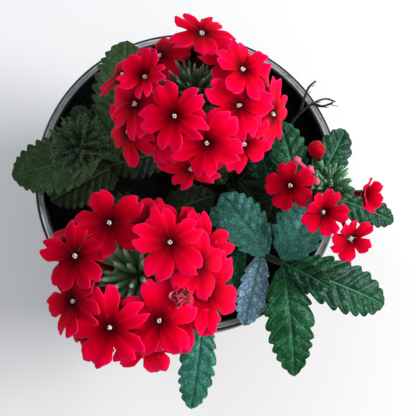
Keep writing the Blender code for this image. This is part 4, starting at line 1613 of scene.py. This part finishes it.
@dataclass
class Studio:
    """The pale ground, the soft light and the camera above the plant."""

    aim: Point = (7.3, -11.2, 95.0)
    tilt: float = 11.0
    azimuth: float = -20.0
    distance: float = 400.0
    lens: float = 88.7
    sensor: float = 36.0
    ground: float = 6.0
    ground_gap: float = 0.2
    room_colour: str = "#f8f8f8"
    room_light: float = 0.55

    def camera(self) -> None:
        """Look down on the pot as the photograph does, with +Y at the top."""
        tilt, turn = math.radians(self.tilt), math.radians(self.azimuth)
        back = Vector((math.sin(turn) * math.sin(tilt), -math.cos(turn) * math.sin(tilt),
                       math.cos(tilt)))
        right = Vector((0, 1, 0)).cross(back).normalized()
        frame = Matrix((right, back.cross(right), back)).transposed().to_4x4()
        frame.translation = (Vector(self.aim) + back * self.distance) * MM
        data = bpy.data.cameras.new("camera")
        data.lens = self.lens
        data.sensor_width = self.sensor
        data.clip_start = 0.01
        made = show("camera", data)
        made.matrix_world = frame
        bpy.context.scene.camera = made

    def floor(self, palette: Palette) -> None:
        """Lay the pale ground just under the pot."""
        sheet = Sheet()
        bmesh.ops.create_grid(sheet.bm, x_segments=1, y_segments=1, size=self.ground / 2)
        mesh = sheet.mesh("ground")
        mesh.materials.append(palette.paper)
        made = show("ground", mesh)
        made.location.z = -self.ground_gap * MM

    def soft_light(self, name: str, place: Point, size: float, power: float, colour: str) -> None:
        """Hang one soft box that faces the plant.

        Args:
            name: The light's name.
            place: Its place in metres.
            size: Its side in metres.
            power: Its power in watts.
            colour: Its hex colour.
        """
        data = bpy.data.lights.new(name, "AREA")
        data.shape = "SQUARE"
        data.size = size
        data.energy = power
        data.color = linear(colour)[:3]
        made = show(name, data)
        made.location = place
        made.rotation_mode = "QUATERNION"
        made.rotation_quaternion = (Vector((0, 0, 0.1)) - Vector(place)).to_track_quat("-Z", "Y")

    def build(self, palette: Palette) -> None:
        """Set up the camera, the ground and the lights."""
        self.camera()
        self.floor(palette)
        self.soft_light("key_window", (0.85, 0.05, 0.72), 0.5, 11.0, "#ffffff")
        self.soft_light("cool_window", (-0.5, 0.45, 0.8), 0.22, 1.3, "#cfe6ff")
        world = bpy.data.worlds.new("soft_room")
        world.use_nodes = True
        back = world.node_tree.nodes["Background"]
        back.inputs["Color"].default_value = linear(self.room_colour)
        back.inputs["Strength"].default_value = self.room_light
        bpy.context.scene.world = world
        bpy.context.scene.view_settings.view_transform = "Standard"


def full_heads() -> list[FullHead]:
    """List the two full heads, with a row for each floret's place."""
    centre_a, centre_b = Vector((-1.5, 15.2, 150)), Vector((-19, -45, 150))
    places_a = (
        (84, 46, 64, 11.8, 4, 1, 0), (173, 37, 60, 10, 26, 2), (18, 34, -45, 11.5, 8, 2, 0, 0.85),
        (-165, 52, -85, 12.5, 0, 1), (-122, 29, 111, 11.8, 0, 2), (-26, 36, 150, 12.3, 0, 1),
        (-80, 44, -95, 12.5, 0, 2), (-46, 65, -85, 12, 0, 1), (-124, 51, -100, 12, 0, -1),
        (9, 65, -20, 12, 0, 0), (46, 47, 30, 11, 4, -2), (161, 80, 180, 11.5, 0, 1),
        (-92, 84, -62, 12, 0, 0), (-151, 76, -110, 12, 0, 1), (-11, 77, -40, 12, 0, 2),
        (130, 66, 150, 11, 0, -2, 0, 0.5), (118, 95, 110, 11.5, 0, -2), (55, 84, 40, 11.5, 0, -1),
        (-112, 70, -75, 12, 0, -2),
    )
    places_b = (
        (123, 39, 110, 12.2, 4, 1, 0, 0.2), (41, 24, 103, 13.5, 0, 2),
        (168, 43, 163, 12.5, 0, 2, 0, 0.4), (-156, 54, -172, 12, 10, 1),
        (-117, 45, 98, 13.5, 0, 1, 0, 0.35), (-68, 40, 22, 13.5, -12, 0, 0, 0.3),
        (80, 62, 80, 13, 0, -3, 0, 0.55), (50, 66, 50, 13, 0, -2, 0, 0.55), (7, 47, 11, 12.6, -4, 0),
        (25, 70, 20, 14.5, 0, -1, 0, 0.4), (-42, 62, -20, 14.5, -2, -2, 0, 0.42),
        (-82, 78, -70, 14, 0, -2, 0, 0.35), (142, 80, 165, 12, 0, 0),
        (-14, 68, -14, 14.5, 0, -1, 0, 0.4), (-135, 86, -110, 12, 0, 0), (-173, 82, -160, 12, 0, -2),
        (-97, 66, -95, 12, 0, -2),
    )
    buds_b = [(Vector(middle) - centre_b).normalized() for _, middle, _, _ in head_b_buds()]
    return [
        FullHead("a", centre_a, 24.0, direction(90, 20), 20, [Place(*row) for row in places_a],
                 painted_light_base=0.66, tuft_radius=0.55, tuft_density=4.5, tuft_light=0.3),
        FullHead("b", centre_b, 26.0, direction(-150, 20), 30, [Place(*row) for row in places_b],
                 buds_b, tuft_reach=17.0, tuft_radius=0.95, tuft_density=1.7, tuft_light=1.5),
    ]


def head_b_buds() -> list[tuple[str, Point, float, float]]:
    """List the two buds of the lower head: node, middle, radius and tone."""
    return [
        ("head_b_bud_5", (-7.5, -52, 165.5), 2.8, 0.9),
        ("head_b_bud_6", (-35, -47, 161), 2.0, 0.9),
    ]


def young_head() -> YoungHead:
    """Give the young head on the right."""
    florets = (
        ((33, -11, 140), (-175, 14), 100, 9.0, 0, 0.3),
        ((45, -20, 138), (-60, 22), 72, 9.5, 28, 0.45),
        ((56, -28, 130), (-60, 40), 50, 9.0, 22, 0.5),
        ((61, -12, 130), (-15, 46), 40, 7.5, 46, 0.35),
    )
    buds = (
        ("head_c_bud_1", (44, 4, 132), 3.2, 0.2),
        ("head_c_bud_2", (37, 0, 131), 1.6, 0.9),
        ("head_c_bud_3", (41, -4, 135), 1.5, 0.9),
        ("head_c_bud_4", (43, -8.7, 136.3), 1.4, 0.9),
    )
    return YoungHead(Vector((49, -8, 123)), direction(-15, 35), florets, buds)


def shoots() -> list[Shoot]:
    """List the six leafy shoots: key, stem route and a row for each leaf."""
    # The tones are partly painted light and shade: the darker leaves sit in the plant's shade, and the sky
    # leaf shows a painted reflection.
    dull, dim, dark, deep = Tone.DULL, Tone.DIM, Tone.DARK, Tone.DEEP
    emerald, green, sea, teal, sky = Tone.EMERALD, Tone.GREEN, Tone.SEA, Tone.TEAL, Tone.PAINTED_SKY
    table = (
        ("a", ((-6, 12, 71), (-6, 12, 84), (-5, 13, 104), (-3, 14, 124), (-1.5, 15, 140)), (
            ((-5, 13, 104), (-21, 38, 110), 15, 4, 0, dull),
            ((-5, 13, 104), (21, 27, 106), 15, 4, 0, dark),
            ((-4, 13.5, 116), (12, -6, 118), 12, 3, 0, dark, 6),
            ((-4, 13.5, 116), (-20, 26, 122), 11, 3, 0, dark, 6),
            ((-6, 12, 90), (-32, 4, 98), 17, 4, 0, dark),
            ((-6, 12, 88), (18, 4, 94), 17, 4, 0, dark),
        )),
        ("b", ((-12, -14, 71), (-12, -14, 84), (-14, -24, 102), (-17, -38, 122), (-19, -45, 140)), (
            ((-14, -24, 102), (-44, -33, 104), 17, 4, 0, dull),
            ((-14, -23, 101), (8, -20, 106), 14, 3, 0, dark),
            ((-16, -33, 115), (-38, -52, 116), 13, 4, 0, dark, 6),
            ((-16, -33, 115), (-2, -46, 118), 12, 3, 0, deep, 6),
            ((-12, -14, 90), (-38, -14, 97), 17, 4, 0, dark),
            ((-12, -14, 88), (10, -6, 95), 16, 4, 0, dark),
        )),
        ("c", ((18, 0, 71), (18, 0, 84), (28, -2, 98), (40, -6, 110), (49, -8, 117)), (
            ((40, -6, 110), (33, 19, 114), 15, 3, 0, green, 6),
            ((31, -3, 101), (25, 11, 110), 13, 2, 0, deep, 6),
            ((45, -7, 114), (58, 16, 115), 14, 3, 12, emerald, 5),
            ((46, -8, 115), (77, -18, 109), 13, 3, 0, emerald, 8),
            ((34, -4, 104), (28, -19, 110), 10, 2, 0, dark, 6),
            ((20, 0, 91), (36, -25, 98), 20, 4, 0, dark),
            ((19, 0, 89), (38, 17, 95), 17, 4, 0, dark),
            ((18, 0, 87), (12, 26, 92), 16, 4, 0, dark),
        )),
        ("d", ((-20, 6, 71), (-20, 6, 84), (-28, 7, 98), (-37, 7, 107), (-41, 6, 112)), (
            ((-29, 7, 99), (-25, 53, 104), 23, 6, 0, dull, 10),
            ((-34, 7, 104), (-67, -2, 107), 23, 3, 0, dull, 9),
            ((-26, 6, 96), (-53, -10, 100), 19, 3, 0, dim, 9),
            ((-36, 7, 106), (-44, 26, 106), 11, 3, 0, dim, 6),
        )),
        ("e", ((14, -16, 71), (14, -16, 84), (20, -23, 97), (29, -32, 108), (34, -35, 114)), (
            ((34, -35, 113), (40, -76, 97), 19, 3, 0, green, 8, 0.72),
            ((34, -35, 113), (74, -49, 102), 20, 4, 0, emerald, 8),
            ((34, -35, 113), (44, -12, 118), 20, 4, 0, teal, 6),
            ((34, -35, 114), (51, -45, 119), 9, 2, 0, deep, 5),
            ((29, -32, 108), (11, -10, 117), 18, 3, 0, teal),
            ((27, -30, 105), (21, -57, 98), 12, 2, 0, sky),
            ((21, -24, 98), (11, -53, 99), 9, 2, 0, green),
            ((20, -22, 98), (8, -13, 102), 11, 2, 0, teal, 5),
        )),
        ("f", ((2, -28, 71), (2, -28, 84), (4, -38, 96), (5, -48, 105), (5, -54, 108)), (
            ((5, -52, 107), (1, -88, 96), 14, 3, 0, sea, 8),
            ((4, -40, 98), (-22, -55, 102), 14, 3, 0, dark, 6),
        )),
    )
    return [Shoot(key, route, [Blade(*row) for row in blades]) for key, route, blades in table]


def dry_roots() -> DryRoots:
    """Give the roots over the rim."""
    return DryRoots((
        ((41, 25, 76), (41, 25, 84), (44, 27.5, 96), (49, 31, 98), (54, 33, 98), (58, 32, 97.5)),
        ((44, 27.5, 96), (45, 32, 99), (47, 37, 99.5), (50, 40, 98.5)),
        ((49, 31, 98), (52, 29, 101), (56, 30, 103)),
    ))


def main() -> None:
    """Dress the whole plant and its pot."""
    logging.basicConfig(level=logging.INFO, format="%(name)s %(message)s")
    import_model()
    palette = Palette.make()
    Studio().build(palette)
    pot = NurseryPot()
    pot.build(palette)
    PottingMix(pot).build(palette)
    dry_roots().build(palette)
    for shoot in shoots():
        shoot.build(palette)
    for head in full_heads():
        head.build(palette)
    centre_b = full_heads()[1].centre
    for name, middle, radius, tone in head_b_buds():
        way = (Vector(middle) - centre_b).normalized()
        ClosedBud(name, centre_b + way * BUD_FOOT, Vector(middle), radius, tone, True).build(palette)
    young_head().build(palette)
    SpikyHead("d", Vector((-41, 6, 118.5)), direction(110, 22), 38, 14.0, 88.0, density=2.1,
              shaded=True).build(palette)


if __name__ == "__main__":
    main()
